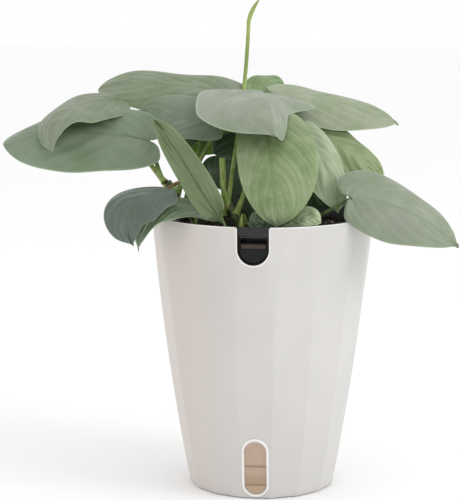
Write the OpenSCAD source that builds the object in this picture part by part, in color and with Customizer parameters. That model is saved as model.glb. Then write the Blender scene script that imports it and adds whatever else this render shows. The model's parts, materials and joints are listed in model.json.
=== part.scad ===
// Potted foliage plant in a self-watering pot, in millimetres, +Z up.
// Origin: centre of the flat base. The filling notch and the water window face -Y.

/* [Outer pot] */
// Height of the outer pot
pot_h = 186; // [180:1:192]
// Outside diameter at the rim
rim_d = 150; // [148:1:152]
// Outside diameter at the base, across the soft corners
base_d = 99; // [97:1:101]
// How far the side bulges outward at mid height
side_bulge = 2.7; // [2:0.1:3]
// Number of flat facets around the side
facets = 16; // [12:2:20]
// Thickness of the side wall at a facet
wall_t = 2.2; // [1.8:0.1:2.6]
// Thickness of the floor
floor_t = 2.2; // [2:0.1:3]
// Depth of the step that carries the liner, below the rim
step_depth = 8; // [7:0.5:10]

/* [Filling notch] */
// Width of the U-shaped notch
notch_w = 22; // [20:1:24]
// Depth of the notch below the rim
notch_depth = 25.7; // [23:0.5:27]

/* [Water window] */
// Width of the window opening
window_w = 15; // [13:1:16]
// Height of the window opening
window_h = 37.8; // [35:0.2:39]
// Height of the window's centre above the base
window_z = 21.4; // [21:0.2:24]
// Width of the raised bead around the window
bead_w = 1.6; // [1:0.1:2]
// Height of the bead above the facet
bead_t = 0.8; // [0.5:0.1:1]

/* [Liner] */
// Height of the liner's floor above the base
liner_floor_z = 48; // [46:1:52]
// Thickness of the liner's wall
liner_t = 1.6; // [1.4:0.1:2]
// Depth of the soil surface below the rim
soil_depth = 11; // [10:1:14]
// Number of drain holes in the liner's floor
drain_holes = 8; // [6:1:12]

/* [Plant] */
// Thickness of a leaf blade at its midrib
blade_t = 0.9; // [0.7:0.1:1.2]
// Radius of a petiole at the leaf
petiole_r = 1.1; // [0.9:0.1:1.4]
// Radius of a petiole where it leaves the stem
petiole_foot_r = 1.8; // [1.5:0.1:2.2]
// Radius of a main stem
stem_r = 2.8; // [2.4:0.1:3.4]

/* [Hidden] */
$fn = 96;
white = [0.88, 0.87, 0.85];
black = [0.08, 0.08, 0.09];
amber = [0.28, 0.16, 0.12];
soil_brown = [0.13, 0.09, 0.07];
stem_green = [0.45, 0.55, 0.25];
leaf_green = [0.56, 0.62, 0.52];
approach = 9;           // how far below the insertion a petiole starts to turn into the blade

// Leaf blades. Each row holds: name, insertion of the petiole, tip, two bows that bend the midrib
// away from the straight line, the upper face's direction at the insertion and at the tip,
// [left, right] half widths, [left, right] reach of the basal lobes, [left, right] fold angles
// [at the insertion, at the tip], curl across a half, wave of the margin, waist of the left half
// and how full the blade stays towards its tip, from 0 (drawn out) to 1 (blunt).
LEAVES = [
    ["far_left", [-77, -12, 235], [-169, -40, 234], [0, 0, 8], [0, -2, 12], [0, -0.9, 0.5],
        [0, -0.8, 0.6], [30, 24], [9, 10], [[32, -15], [5, -35]], -25, 1, 0, 0.9],
    ["upper_left", [-101, 2, 261], [-133, -58, 232], [-6, -3, 8], [-15, -2, 19], [-0.1, -0.8, 0.8],
        [-0.7, -0.7, 0.3], [18, 25], [6, 6], [[-5, 0], [-5, 0]], -30, 1, 0, 0.2],
    ["back_left", [-29, 18, 266], [-118, 34, 266], [0, 0, 4], [0, 0, 6], [0, -0.6, 0.8],
        [0, -0.6, 0.8], [23, 18], [12, 12], [[0, 0], [5, 0]], -25, 1, 0, 0.7],
    ["under_left", [-34, -8, 246], [-88, 1, 248], [0, 0, 3], [0, 0, 3], [0, -0.8, 0.6],
        [0, -0.85, 0.5], [14, 20], [10, 10], [[-5, 0], [0, 0]], -15, 1, 0, 0.2],
    ["centre", [0, 6, 266], [13, -66, 245], [0, 0, 7], [0, -2, 11], [-0.05, -0.35, 1],
        [-0.1, -0.6, 1], [41, 48], [16, 18], [[-16, -75], [12, -5]], -12, 1, 0.6, 0],
    ["crown", [-8, 36, 264], [12, 42, 260], [0, 0, 4], [0, 0, 4], [0, -0.7, 0.7],
        [0, -0.7, 0.7], [19, 14], [7, 7], [[-5, 0], [-5, 0]], -20, 1, 0, 0.4],
    ["front", [5, -29, 247], [14, -62, 184], [0, -11, 8], [2, -9, 2], [0.1, -0.75, 0.6],
        [0, -1, 0.2], [31, 22], [14, 9], [[5, 5], [5, 5]], -25, 1, 0, 0],
    ["right", [62, -47, 203], [132, -50, 172], [0, 0, 9], [0, 0, 11], [-0.1, -0.7, 0.7],
        [0, -0.7, 0.7], [27, 24], [12, 5], [[5, -35], [-45, 12]], -25, 1, 0, 0],
    ["upper_right", [13, 26, 262], [91, 43, 243], [0, 0, 4], [0, 0, 7], [0, -0.6, 0.8],
        [0.1, -0.6, 0.8], [20, 22], [12, 12], [[-5, -20], [-5, 0]], -25, 1, 0, 0],
    ["front_right", [27, -4, 243], [53, -36, 191], [3, -5, 6], [4, -5, 4], [0.4, -0.7, 0.5],
        [0.4, -0.9, 0.3], [15, 18], [8, 10], [[5, 5], [5, 5]], -25, 1, 0, 0],
    ["back_right", [36, 20, 239], [80, 30, 200], [4, 0, 4], [6, 0, 4], [0.2, -0.8, 0.6],
        [0.3, -0.8, 0.4], [13, 18], [8, 10], [[0, 0], [0, 0]], -25, 1, 0, 0],
    ["lower_left", [-52, -54, 207], [-79, -66, 171], [-8, 1, 9], [-20, -5, 15], [-0.1, -0.5, 0.9],
        [-0.4, -0.9, 0.3], [17, 30], [0, -3], [[5, 5], [-22, 0]], -20, 1, 0, 0],
    ["rim_left", [-31, -37, 190], [-77, -59, 167], [-6, 0, 15], [-12, 0, 28], [-0.1, -0.5, 0.9],
        [-0.3, -0.8, 0.6], [12, 12], [5, 6], [[10, 0], [0, 0]], -10, 1, 0, 0],
    ["folded", [-17, -58, 181], [-70, -38, 253], [-2, -6, 2], [3, -5, 3], [-0.3, -0.8, 0.2],
        [-0.5, -0.8, 0.3], [10, 12], [-13, -13], [[35, 30], [20, 10]], -8, 1, 0, 0.1],
    ["inner_left", [-31, -2, 224], [2, -14, 205], [0, -2, 4], [0, -2, 4], [0, -0.9, 0.4],
        [0, -0.9, 0.4], [21, 20], [8, 8], [[5, 5], [5, 5]], -20, 1, 0, 0.4],
    ["inner_right", [-16, -10, 202], [24, -32, 190], [0, -4, 3], [0, -4, 3], [0, -0.7, 0.7],
        [0, -0.8, 0.5], [16, 18], [6, 6], [[5, 5], [5, 5]], -20, 1, 0, 0],
    ["notch", [6, -50, 179], [-2, -54, 193], [0, -1, 0], [0, -1, 0], [0, -1, 0.2],
        [0, -1, 0.2], [7, 7], [2, 2], [[5, 5], [5, 5]], -20, 0.3, 0, 0],
    ["rim_right", [18, -44, 184], [43, -54, 187], [0, -3, 4], [0, -3, 4], [0, -0.7, 0.7],
        [0, -0.7, 0.6], [12, 9], [3, 3], [[5, 5], [5, 5]], -20, 0.5, 0, 0],
    ["shaded", [-46, 12, 246], [-70, 8, 227], [0, -3, 2], [0, -3, 2], [0, -0.9, 0.4],
        [0, -0.9, 0.3], [13, 13], [5, 5], [[5, 5], [5, 5]], -20, 0.5, 0, 0.4],
    ["rear_left", [-14, 38, 248], [-66, 36, 224], [0, 2, 4], [0, 2, 4], [0, 0.8, 0.6],
        [0, 0.8, 0.6], [22, 22], [10, 10], [[0, 0], [0, 0]], -20, 1, 0, 0.2],
    ["rear", [8, 36, 232], [14, 100, 214], [0, 0, 8], [0, 0, 12], [0, 0.3, 1],
        [0, 0.4, 1], [26, 26], [12, 12], [[0, 0], [0, 0]], -25, 1, 0, 0.2],
    ["rear_right", [28, 28, 216], [50, 34, 185], [0, -3, 4], [0, -3, 4], [0, -0.8, 0.6],
        [0, -0.8, 0.5], [20, 20], [8, 8], [[5, 5], [5, 5]], -20, 1, 0, 0.2],
];

// Petioles, one for each blade: name of the blade, foot on the stem or in the soil, lean at the
// foot, and the way it comes into the blade, or [0, 0, 0] to come in along the midrib from below.
PETIOLES = [
    ["far_left", [-63, -28, 209], [-6, 2, 6], [0, 0, 0]],
    ["upper_left", [-61, -25, 205], [-14, 18, 12], [4, -2, -17]],
    ["back_left", [-56, -20, 199], [6, 12, 22], [0, 0, 0]],
    ["under_left", [-50, -18, 190], [-2, 12, 28], [0, 0, 0]],
    ["centre", [18, 4, 206], [-4, 6, 25], [0, 0, 0]],
    ["crown", [16, 8, 200], [-2, 14, 20], [0, 0, 0]],
    ["front", [-14, -43, 190], [8, 6, 20], [0, 0, 0]],
    ["right", [-3, -35, 160], [10, -2, 12], [-20, 5, -13]],
    ["upper_right", [22, 9, 203], [0, 6, 25], [0, 0, 0]],
    ["front_right", [25, 1, 194], [0, -4, 20], [0, 0, 0]],
    ["back_right", [27, 6, 190], [4, 6, 20], [0, 0, 0]],
    ["lower_left", [-59, -28, 203], [2, -10, 6], [6, 8, -2]],
    ["rim_left", [-34, -24, 175], [4, -8, 8], [0, 0, 0]],
    ["folded", [-6, -39, 170], [-2, -8, 4], [2, 6, -6]],
    ["inner_left", [-14, -37, 190], [-10, 14, 8], [0, 0, 0]],
    ["inner_right", [-8, -37, 181], [-2, 10, 10], [0, 0, 0]],
    ["notch", [0, -42, 174], [2, -4, 4], [0, 0, 0]],
    ["rim_right", [6, -34, 174], [2, -4, 6], [0, 0, 0]],
    ["shaded", [-48, -15, 183], [2, 14, 18], [0, 0, 0]],
    ["rear_left", [-46, -13, 178], [2, 24, 26], [8, 0, -14]],
    ["rear", [18, 9, 193], [-2, 10, 20], [0, 0, 0]],
    ["rear_right", [22, 8, 184], [2, 10, 14], [-4, -4, -6]],
];

// Upright growth: name, four points of the curve it follows, radius at its foot and at its end
STEMS = [
    ["stem_left", [[-40, -12, 150], [-44, -16, 172], [-54, -23, 196], [-61, -28, 209]], stem_r, stem_r - 0.2],
    ["stem_centre", [[-4, -34, 150], [-6, -38, 170], [-12, -41, 184], [-18, -42, 196]], stem_r, stem_r - 0.4],
    ["stem_right", [[22, 0, 150], [24, 2, 172], [24, 4, 190], [20, 6, 206]], stem_r, stem_r - 0.2],
    ["new_leaf_stalk", [[-19, -42, 197], [-17, -18, 236], [-16, 38, 250], [-12, 24, 313]], 1.8, 1.6],
    ["new_leaf", [[-12, 24, 313], [-11, 24, 319], [-8, 23, 324], [-4, 22, 329]], 1.6, 0.4],
    ["cut_petiole", [[-22, -34, 188], [-22, -34, 200], [-24, -33, 212], [-24, -32, 226]], 2.0, 1.8],
    ["basal_shoot", [[-10, -52, 174], [-10, -53, 182], [-9, -54, 187], [-9, -55, 192]], 1.8, 0.3],
];
POT_NODES = ["outer_pot", "window_lens", "window_gasket", "liner", "fill_spout", "spout_sill",
    "wick_basket", "wick_soil", "potting_mix"];

// Outer pot: radii at a height, with six straight stretches to the curved side
side_steps = 12;
step_z = pot_h - step_depth;
corner_trim = cos(180 / facets);   // facet distance as a share of the corner radius
facet_cols = 4;        // columns of points across a facet
fade_z = 0.667;        // share of the height above which the facets fade into the round rim
pot_fn = 48;
function side_z(i) = pot_h * i / side_steps;
function side_r(z) = base_d / 2 + (rim_d - base_d) / 2 * z / pot_h
    + 4 * side_bulge * z / pot_h * (1 - z / pot_h);
function facet_r(z) = side_r(z) * mix(corner_trim, 1, max(0, (z / pot_h - fade_z) / (1 - fade_z)));
function cavity_r(z) = side_r(z) * corner_trim - wall_t;
lip_r = side_r(pot_h) - 1.7;
notch_r = notch_w / 2;
notch_z = pot_h - notch_depth + notch_r;

// Front facet near the window: its distance from the axis at two heights, and its tilt
facet_lo = facet_r(0);
facet_hi = facet_r(side_z(1) * 1.4);
window_tilt = atan((facet_hi - facet_lo) / (side_z(1) * 1.4));
window_y = -facet_r(window_z) - 0.1;
pad_in = 4.2;          // inner face of the window's pad, behind the facet
lens_t = 1.6;
flange_t = 1.2;
gasket_t = 0.6;
flange_grow = 2;       // how far the lens flange reaches past the opening
level_gap = 13.5;        // between the two level marks
level_drop = 5.4;        // the marks' middle lies this far below the window's centre
lens_recess = 0.6;
mark_t = 0.4;
mark_w = 0.8;

blade_rows = 12;
blade_cols = 3;
tube_sides = 8;
tube_rings = 7;

// Liner
rim_gap = 0.4;
liner_rim_r = side_r(step_z) - 1.7 - rim_gap;
liner_top_r = cavity_r(step_z) - 1.1;
liner_floor_r = 50;
liner_top_z = pot_h - 0.4;
pocket_w = 22.6;
pocket_y = 61.5;
pocket_wall = 1.4;
spout_top_z = pot_h - 6;
mouth_w = notch_w - 0.6;
plate_y = -(pocket_y + 6.5);   // inner face of the mouth's plate
plate_t = 1.6;
flange_h = 17;
lip_w = 1.2;
lip_out = 3.6;
slot_w = 15;
slot_h = 3.2;
slot_drop = 1.2;
sill_w = 16;
sill_h = 2.6;
sill_out = 1.2;
sill_drop = 5.6;
drain_ring_r = 32;
drain_d = 5;
slit_w = 2.4;
soil_z = pot_h - soil_depth;
soil_gap = 0.3;
basket_r = 14;
basket_tip_r = 11;
basket_flange_r = 18;
basket_z = 5;
basket_t = 1.5;
basket_slots = 8;
function liner_r(z) = liner_floor_r
    + (liner_top_r - liner_floor_r) * (z - liner_floor_z) / (step_z - liner_floor_z);

// ---------- Pot ----------

module stadium(w, h) {
    square([w, h - w], center = true);
    for (s = [-1, 1]) translate([0, s * (h - w) / 2]) circle(d = w);
}

// Puts a flat shape on the front facet at the window; local +Z points outward
module at_window(out = 0) {
    translate([0, window_y, window_z]) rotate([90 + window_tilt, 0, 0])
        translate([0, 0, out]) children();
}

// Closed skin over rings of points, each with the same number of points, and flat at both ends
module skin(points, sides) {
    rings = len(points) / sides;
    faces = concat([[for (k = [0 : sides - 1]) k]],
        [for (i = [0 : rings - 2], k = [0 : sides - 1], far = [0, 1])
            let (a = i * sides + k, b = i * sides + (k + 1) % sides)
            far == 0 ? [a, a + sides, b] : [b, a + sides, b + sides]],
        [[for (k = [sides - 1 : -1 : 0]) (rings - 1) * sides + k]]);
    polyhedron(points, faces);
}

// Rings [radius, height, 1 on the facetted outside or 0] round the pot's wall, from the outer
// bottom edge over the rim to the inner bottom edge
pot_rings = concat(
    [for (i = [0 : side_steps]) [side_r(side_z(i)), side_z(i), 1]],
    [[lip_r, pot_h, 0], [side_r(step_z) - 1.7, step_z, 0]],
    [for (i = [side_steps - 1 : -1 : 1]) [cavity_r(side_z(i)), min(step_z, side_z(i)), 0]],
    [[cavity_r(floor_t), floor_t, 0]]);
function facet_angle(a) = abs((a + 180 / facets) % (360 / facets) - 180 / facets);
function pot_r(ring, a) = ring[2] == 0 ? ring[0]
    : min(ring[0], facet_r(ring[1]) / cos(facet_angle(a)));

module pot_wall() {
    sides = facets * facet_cols;
    skin([for (ring = pot_rings, k = [0 : sides - 1]) let (a = 360 * k / sides, r = pot_r(ring, a))
        [r * cos(a), r * sin(a), ring[1]]], sides);
}

module notch_cut() {
    translate([0, 0, notch_z]) rotate([90, 0, 0]) cylinder(d = notch_w, h = rim_d);
    translate([-notch_w / 2, -rim_d, notch_z]) cube([notch_w, rim_d, notch_depth]);
}

module outer_pot() {
    $fn = pot_fn;
    color(white) difference() {
        union() {
            pot_wall();
            intersection() {
                at_window(-pad_in) linear_extrude(pad_in - 0.5)
                    stadium(window_w + 9, window_h + 9);
                translate([0, 0, pot_h / 2]) cube([rim_d, rim_d, pot_h], center = true);
            }
            at_window(-1) linear_extrude(1 + bead_t) stadium(window_w + 2 * bead_w, window_h + 2 * bead_w);
        }
        at_window(-10) linear_extrude(20) stadium(window_w, window_h);
        notch_cut();
        // flat underside
        translate([0, 0, -5]) cube([rim_d, rim_d, 10], center = true);
    }
}

// Plate behind the window, wider than the opening and cut off flat where it meets the floor
module window_plate(out, t) {
    difference() {
        at_window(out) linear_extrude(t)
            stadium(window_w + 2 * flange_grow, window_h + 2 * flange_grow);
        translate([0, 0, floor_t - rim_d / 2 + 0.1]) cube(rim_d, center = true);
    }
}

module window_gasket() {
    color(black) difference() {
        window_plate(-pad_in - gasket_t, gasket_t);
        at_window(-10) linear_extrude(20) stadium(window_w, window_h);
    }
}

// Clear window: a plug that fills the opening, a flange behind it and two raised level marks
module window_lens() {
    flange_z = -pad_in - gasket_t - flange_t;
    color([0.86, 0.80, 0.72, 0.6]) {
        window_plate(flange_z, flange_t);
        at_window(flange_z + flange_t) linear_extrude(-flange_z - flange_t - lens_recess)
            stadium(window_w - 0.2, window_h - 0.2);
        for (s = [-1, 1]) at_window(-lens_recess) translate([0, s * level_gap / 2 - level_drop, 0])
            linear_extrude(mark_t) square([window_w - 4, mark_w], center = true);
    }
}

// ---------- Liner and what it holds ----------

module liner_outside() {
    rotate_extrude() polygon([[0, liner_floor_z], [liner_floor_r, liner_floor_z],
        [liner_top_r, step_z], [liner_rim_r, step_z], [liner_rim_r, liner_top_z], [0, liner_top_z]]);
}

module liner_inside(gap = 0) {
    inner_top = liner_r(step_z - 2) - liner_t - gap;
    rotate_extrude() polygon([[0, liner_floor_z + liner_t], [liner_floor_r - liner_t - gap, liner_floor_z + liner_t],
        [inner_top, step_z - 2], [inner_top + 1, liner_top_z + 1], [0, liner_top_z + 1]]);
}

// Upright channel in the liner's front, which leads water from the notch down to the reservoir
module pocket(grow = 0) {
    translate([-pocket_w / 2 - grow, -rim_d, liner_floor_z + 2])
        cube([pocket_w + 2 * grow, rim_d - pocket_y + grow, spout_top_z - liner_floor_z - 2 + grow]);
}

module liner() {
    color(black) difference() {
        union() {
            difference() {
                liner_outside();
                liner_inside();
            }
            intersection() {
                liner_outside();
                pocket(pocket_wall);
            }
        }
        pocket();
        translate([0, 0, liner_floor_z - 1]) cylinder(r = basket_r + 0.2, h = 5);
        for (i = [0 : drain_holes - 1]) rotate([0, 0, (i + 0.5) * 360 / drain_holes])
            translate([drain_ring_r, 0, liner_floor_z - 1]) cylinder(d = drain_d, h = 5);
    }
}

// U-shaped outline of the filling mouth, its top edge at spout_top_z
module mouth(w) {
    intersection() {
        union() {
            translate([0, notch_z - spout_top_z]) circle(d = w);
            translate([-w / 2, notch_z - spout_top_z]) square([w, spout_top_z - notch_z]);
        }
        translate([-w / 2, -rim_d]) square([w, rim_d]);
    }
}

module at_mouth(y) {
    translate([0, y, spout_top_z]) rotate([90, 0, 0]) children();
}

// Black filling mouth: a recessed plate with a raised lip along the U and a slot at its top
module fill_spout() {
    color(black) difference() {
        union() {
            at_mouth(plate_y) linear_extrude(plate_t) mouth(mouth_w);
            translate([-pocket_w / 2, plate_y, spout_top_z - flange_h]) cube([pocket_w, plate_t, flange_h]);
            at_mouth(plate_y) linear_extrude(lip_out) difference() {
                mouth(mouth_w);
                translate([0, 0.01]) mouth(mouth_w - 2 * lip_w);
            }
        }
        translate([-slot_w / 2, -rim_d, spout_top_z - slot_drop - slot_h]) cube([slot_w, rim_d, slot_h]);
    }
}

module spout_sill() {
    color(amber) translate([-sill_w / 2, plate_y - plate_t - sill_out, spout_top_z - sill_drop - sill_h])
        cube([sill_w, sill_out, sill_h]);
}

module basket_cup(r0, r1, z0, z1) {
    translate([0, 0, z0]) cylinder(r1 = r0, r2 = r1, h = z1 - z0);
}

// Slotted cup that hangs through the liner's floor into the water
module wick_basket() {
    top_z = liner_floor_z + liner_t;
    color(black) difference() {
        union() {
            basket_cup(basket_tip_r, basket_r, basket_z, top_z);
            translate([0, 0, top_z]) cylinder(r = basket_flange_r, h = basket_t);
        }
        basket_cup(basket_tip_r - basket_t, basket_r - basket_t, basket_z + basket_t, top_z + basket_t + 1);
        for (i = [0 : basket_slots / 2 - 1]) rotate([0, 0, i * 360 / basket_slots])
            translate([-basket_flange_r, -slit_w / 2, basket_z + 6])
                cube([2 * basket_flange_r, slit_w, 26]);
    }
}

module wick_soil() {
    color(soil_brown) translate([0, 0, basket_z + basket_t])
        cylinder(r1 = basket_tip_r - basket_t - soil_gap, r2 = basket_r - basket_t - soil_gap,
            h = liner_floor_z + liner_t - basket_z - basket_t);
}

module potting_mix() {
    bed_z = liner_floor_z + liner_t + basket_t + 0.2;
    color(soil_brown) difference() {
        intersection() {
            liner_inside(soil_gap);
            translate([0, 0, bed_z]) cylinder(r = rim_d, h = soil_z - bed_z);
        }
        pocket(pocket_wall + soil_gap);
    }
}

// ---------- Plant ----------

function bezier(p, t) = pow(1 - t, 3) * p[0] + 3 * t * pow(1 - t, 2) * p[1]
    + 3 * t * t * (1 - t) * p[2] + pow(t, 3) * p[3];
function slope(p, t) = 3 * pow(1 - t, 2) * (p[1] - p[0]) + 6 * t * (1 - t) * (p[2] - p[1])
    + 3 * t * t * (p[3] - p[2]);
function unit(v) = v / norm(v);
function mix(a, b, t) = a + (b - a) * t;
function sum(v, i = 0) = i == len(v) ? 0 : v[i] + sum(v, i + 1);
function path_length(p, n = 24) = sum([for (i = [1 : n]) norm(bezier(p, i / n) - bezier(p, (i - 1) / n))]);

// Fields of a row of LEAVES; side 0 is left of the midrib and side 1 right of it
function midrib(r) = [r[1], mix(r[1], r[2], 1 / 3) + r[3], mix(r[1], r[2], 2 / 3) + r[4], r[2]];
function up_at(r, u) = mix(r[5], r[6], u);
function half_w(r, side) = r[7][side];
function lobe(r, side) = r[8][side];
function fold(r, side, u) = mix(r[9][side][0], r[9][side][1], u);
function curl(r) = r[10];
function wave(r) = r[11];
function waist(r, side) = side == 0 ? r[12] : 0;
function fullness(r) = r[13];

// Half outline of a flat blade from the sinus at the petiole (t = 0), round the basal lobe, past
// the widest point and on to the tip (t = 1). x runs along the midrib and y across it; l is the
// blade's length, w its half width, b how far the lobe reaches back and g how full the tip is.
widest = 0.4;
function ovate(t, l, w, b, g) = let (x = widest * l)
    t < 0.3 ? bezier([[0, 0], [-0.6 * b, 0.02 * w], [-b, 0.17 * w], [-b, 0.5 * w]], t / 0.3) :
    t < 0.6 ? bezier([[-b, 0.5 * w], [-b, 0.8 * w], [x - 0.6 * (x + b), w], [x, w]], (t - 0.3) / 0.3) :
    bezier([[x, w], [mix(x, l, 0.58 + 0.1 * g), w], [mix(x, l, 0.92 + 0.08 * g), (0.1 + 0.45 * g) * w],
        [l, 0]], (t - 0.6) / 0.4);
function outline(t, l, w, b, k, g) = let (p = ovate(t, l, w, b, g))
    [p[0], p[1] * (1 - k * sin(180 * max(0, min(1, p[0] / l))))];

// Where the flat point (x, y) of a half lies on the bent blade, h above its middle surface
function bent(r, l, side, x, y, h) =
    let (p = midrib(r), u = max(0, min(1, x / l)), d = slope(p, u), t = unit(d),
        n0 = up_at(r, u), n = unit(n0 - t * (n0 * t)), s = cross(t, n) * (side == 0 ? -1 : 1),
        w = half_w(r, side), e = y / w, f = fold(r, side, u), a = f + curl(r) * e,
        k = curl(r) * PI / 180, across = (sin(a) - sin(f)) / k * w,
        rise = (cos(f) - cos(a)) / k * w + wave(r) * sin(540 * u + 60 * side) * e * e)
    bezier(p, u) + d * min(0, x / l) + s * (across - sin(a) * h) + n * (rise + cos(a) * h);

// Point of a blade at row i, which runs from the midrib (column 0) to the margin; left columns
// are negative. The margin has no thickness.
function blade_point(r, l, i, j, h) =
    let (side = j < 0 ? 0 : 1, q = abs(j) / blade_cols,
        e = outline(0.06 + 0.94 * i / blade_rows, l, half_w(r, side), lobe(r, side), waist(r, side),
            fullness(r)))
    bent(r, l, side, mix(l * pow(i / blade_rows, 1.5), e[0], q), e[1] * q, on_margin(i, j) ? 0 : h);
function on_margin(i, j) = i == 0 || abs(j) == blade_cols;

// Index of a blade's point in its list; both faces share the points of the margin
row_len = 2 * blade_cols + 1;
function index(i, j, under) = i * row_len + j + blade_cols
    + (under && !on_margin(i, j) ? blade_rows * row_len : 0);
function facing(tri, under) = under ? [tri[0], tri[2], tri[1]] : tri;

module blade(r) {
    l = path_length(midrib(r));
    tip = 2 * blade_rows * row_len;
    points = concat([for (h = [blade_t / 2, -blade_t / 2], i = [0 : blade_rows - 1],
        j = [-blade_cols : blade_cols]) blade_point(r, l, i, j, h)], [r[2]]);
    faces = concat(
        [for (under = [false, true], i = [0 : blade_rows - 2], j = [-blade_cols : blade_cols - 1],
            far = [0, 1])
            let (a = index(i, j, under), b = index(i, j + 1, under), c = index(i + 1, j + 1, under),
                d = index(i + 1, j, under))
            facing(j < 0 ? (far == 0 ? [a, c, b] : [a, d, c]) : (far == 0 ? [a, d, b] : [b, d, c]), under)],
        [for (under = [false, true], j = [-blade_cols : blade_cols - 1])
            facing([index(blade_rows - 1, j, under), tip, index(blade_rows - 1, j + 1, under)], under)]);
    color(leaf_green) polyhedron(points, faces);
}

// Round shoot along a curve, from radius r0 to r1
module shoot(p, r0, r1) {
    points = [for (i = [0 : tube_rings - 1]) let (u = i / (tube_rings - 1), t = unit(slope(p, u)),
        a = unit(cross(t, [0.05, 1, 0.02])), b = cross(t, a))
        for (k = [0 : tube_sides - 1]) let (g = 360 * k / tube_sides)
            bezier(p, u) + (a * cos(g) + b * sin(g)) * mix(r0, r1, u)];
    skin(points, tube_sides);
}

module stem(r) {
    color(stem_green) shoot(r[1], r[2], r[3]);
}

// Petiole of a blade: it ends just under the insertion, coming in from below along the midrib
module petiole(row, leaf) {
    p = midrib(leaf);
    t = unit(p[1] - p[0]);
    n = unit(leaf[5] - t * (leaf[5] * t));
    reach = approach * min(1, norm(p[0] - row[1]) / 40);
    arrival = norm(row[3]) > 0 ? row[3] : -(t + n) * reach;
    color(stem_green) shoot([row[1], row[1] + row[2], p[0] + arrival, p[0] - n], petiole_foot_r, petiole_r);
}

outer_pot();
window_lens();
window_gasket();
liner();
fill_spout();
spout_sill();
wick_basket();
wick_soil();
potting_mix();
for (r = STEMS) stem(r);
for (i = [0 : len(LEAVES) - 1]) {
    blade(LEAVES[i]);
    petiole(PETIOLES[i], LEAVES[i]);
}
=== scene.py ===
# %% [markdown]
# # A potted foliage plant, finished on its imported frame
# The plant stands in a white self-watering pot: an outer pot with soft facets, a filling notch at
# the front of its rim and a clear water window near its foot. A black liner with the soil and the
# plant lifts out of it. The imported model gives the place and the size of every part. This script
# gives each part the shape and the finish that the eye sees, and hangs it on the same body, so
# that the plant rises with its liner.

# %% Load the frame
import json
import math
from collections import namedtuple

import bmesh
import bpy
import numpy as np
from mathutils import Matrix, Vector, noise


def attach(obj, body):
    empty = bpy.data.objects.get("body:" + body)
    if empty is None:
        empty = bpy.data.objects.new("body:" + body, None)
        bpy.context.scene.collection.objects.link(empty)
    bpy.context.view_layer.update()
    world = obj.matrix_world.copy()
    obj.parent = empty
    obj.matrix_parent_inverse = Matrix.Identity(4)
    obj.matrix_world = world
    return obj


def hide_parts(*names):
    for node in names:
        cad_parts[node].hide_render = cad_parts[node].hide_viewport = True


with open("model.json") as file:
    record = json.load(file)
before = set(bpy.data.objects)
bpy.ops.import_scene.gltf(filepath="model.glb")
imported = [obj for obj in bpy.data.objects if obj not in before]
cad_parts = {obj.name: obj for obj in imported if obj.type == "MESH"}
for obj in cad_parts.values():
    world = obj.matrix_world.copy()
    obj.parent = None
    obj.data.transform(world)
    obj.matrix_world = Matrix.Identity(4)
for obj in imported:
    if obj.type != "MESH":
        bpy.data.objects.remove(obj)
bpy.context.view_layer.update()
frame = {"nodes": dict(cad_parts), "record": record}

MM = 0.001


# %% Put an object into the scene
def add_object(name, data):
    obj = bpy.data.objects.new(name, data)
    bpy.context.scene.collection.objects.link(obj)
    return obj


print("the scene is", bpy.context.scene.name)

# %% [markdown]
# ## The camera
# The plant is seen from the front, a little to the right and a hand's breadth above the rim, with
# a long lens. The view settings are plain, so that a white pot stays white and a green stays the
# green it was mixed as.

# %% Camera
CAMERA_AT = Vector((107.3, -1251.3, 358.5)) * MM
LOOKS_AT = Vector((-22.1, -1.9, 159.9)) * MM
LENS_MM = 134.8


def add_camera(place, target, lens):
    data = bpy.data.cameras.new("camera")
    data.sensor_fit = "VERTICAL"
    data.sensor_height = 36.0
    data.lens = lens
    data.clip_end = 20.0
    camera = add_object("camera", data)
    camera.location = place
    camera.rotation_euler = (target - place).to_track_quat("-Z", "Y").to_euler()
    bpy.context.scene.camera = camera
    return camera


camera = add_camera(CAMERA_AT, LOOKS_AT, LENS_MM)
bpy.context.scene.view_settings.view_transform = "Standard"
print("camera at", [round(c, 3) for c in camera.location])

# %% [markdown]
# ## Sums written as nodes
# Both materials and Geometry Nodes are graphs, and a sum of five terms is five boxes and their
# wires. A small class with + - * / makes the boxes, so the rules below read as sums. It works in
# either kind of tree, because both know the same Math node.

# %% Sums as nodes
class Wire:
    """An output socket that can be calculated with; every step adds one Math node."""

    def __init__(self, tree, socket):
        self.tree = tree
        self.socket = socket

    def math(self, operation, *others, clamp=False):
        node = self.tree.nodes.new("ShaderNodeMath")
        node.operation = operation
        node.use_clamp = clamp
        for place, value in enumerate((self, *others)):
            if isinstance(value, Wire):
                self.tree.links.new(value.socket, node.inputs[place])
            else:
                node.inputs[place].default_value = value
        return Wire(self.tree, node.outputs[0])

    def __add__(self, other):
        return self.math("ADD", other)

    def __sub__(self, other):
        return self.math("SUBTRACT", other)

    def __mul__(self, other):
        return self.math("MULTIPLY", other)

    def __truediv__(self, other):
        return self.math("DIVIDE", other)

    def __pow__(self, other):
        return self.math("POWER", other)

    def abs(self):
        return self.math("ABSOLUTE")

    def step(self, low, high):
        """0 below low, 1 above high and smooth between; high below low turns it round."""
        node = self.tree.nodes.new("ShaderNodeMapRange")
        node.interpolation_type = "SMOOTHSTEP"
        self.tree.links.new(self.socket, node.inputs["Value"])
        turned = high < low
        node.inputs["From Min"].default_value = min(low, high)
        node.inputs["From Max"].default_value = max(low, high)
        node.inputs["To Min"].default_value = 1.0 if turned else 0.0
        node.inputs["To Max"].default_value = 0.0 if turned else 1.0
        return Wire(self.tree, node.outputs["Result"])


# %% [markdown]
# ## What every finish shares
# Each finish is a Principled shader. What is the same all over, such as the roughness of a
# moulding, is set on the shader itself. What changes over the surface comes from noise in object
# space, or from the piece's own map where it follows the piece, as the veins follow a leaf.

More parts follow.
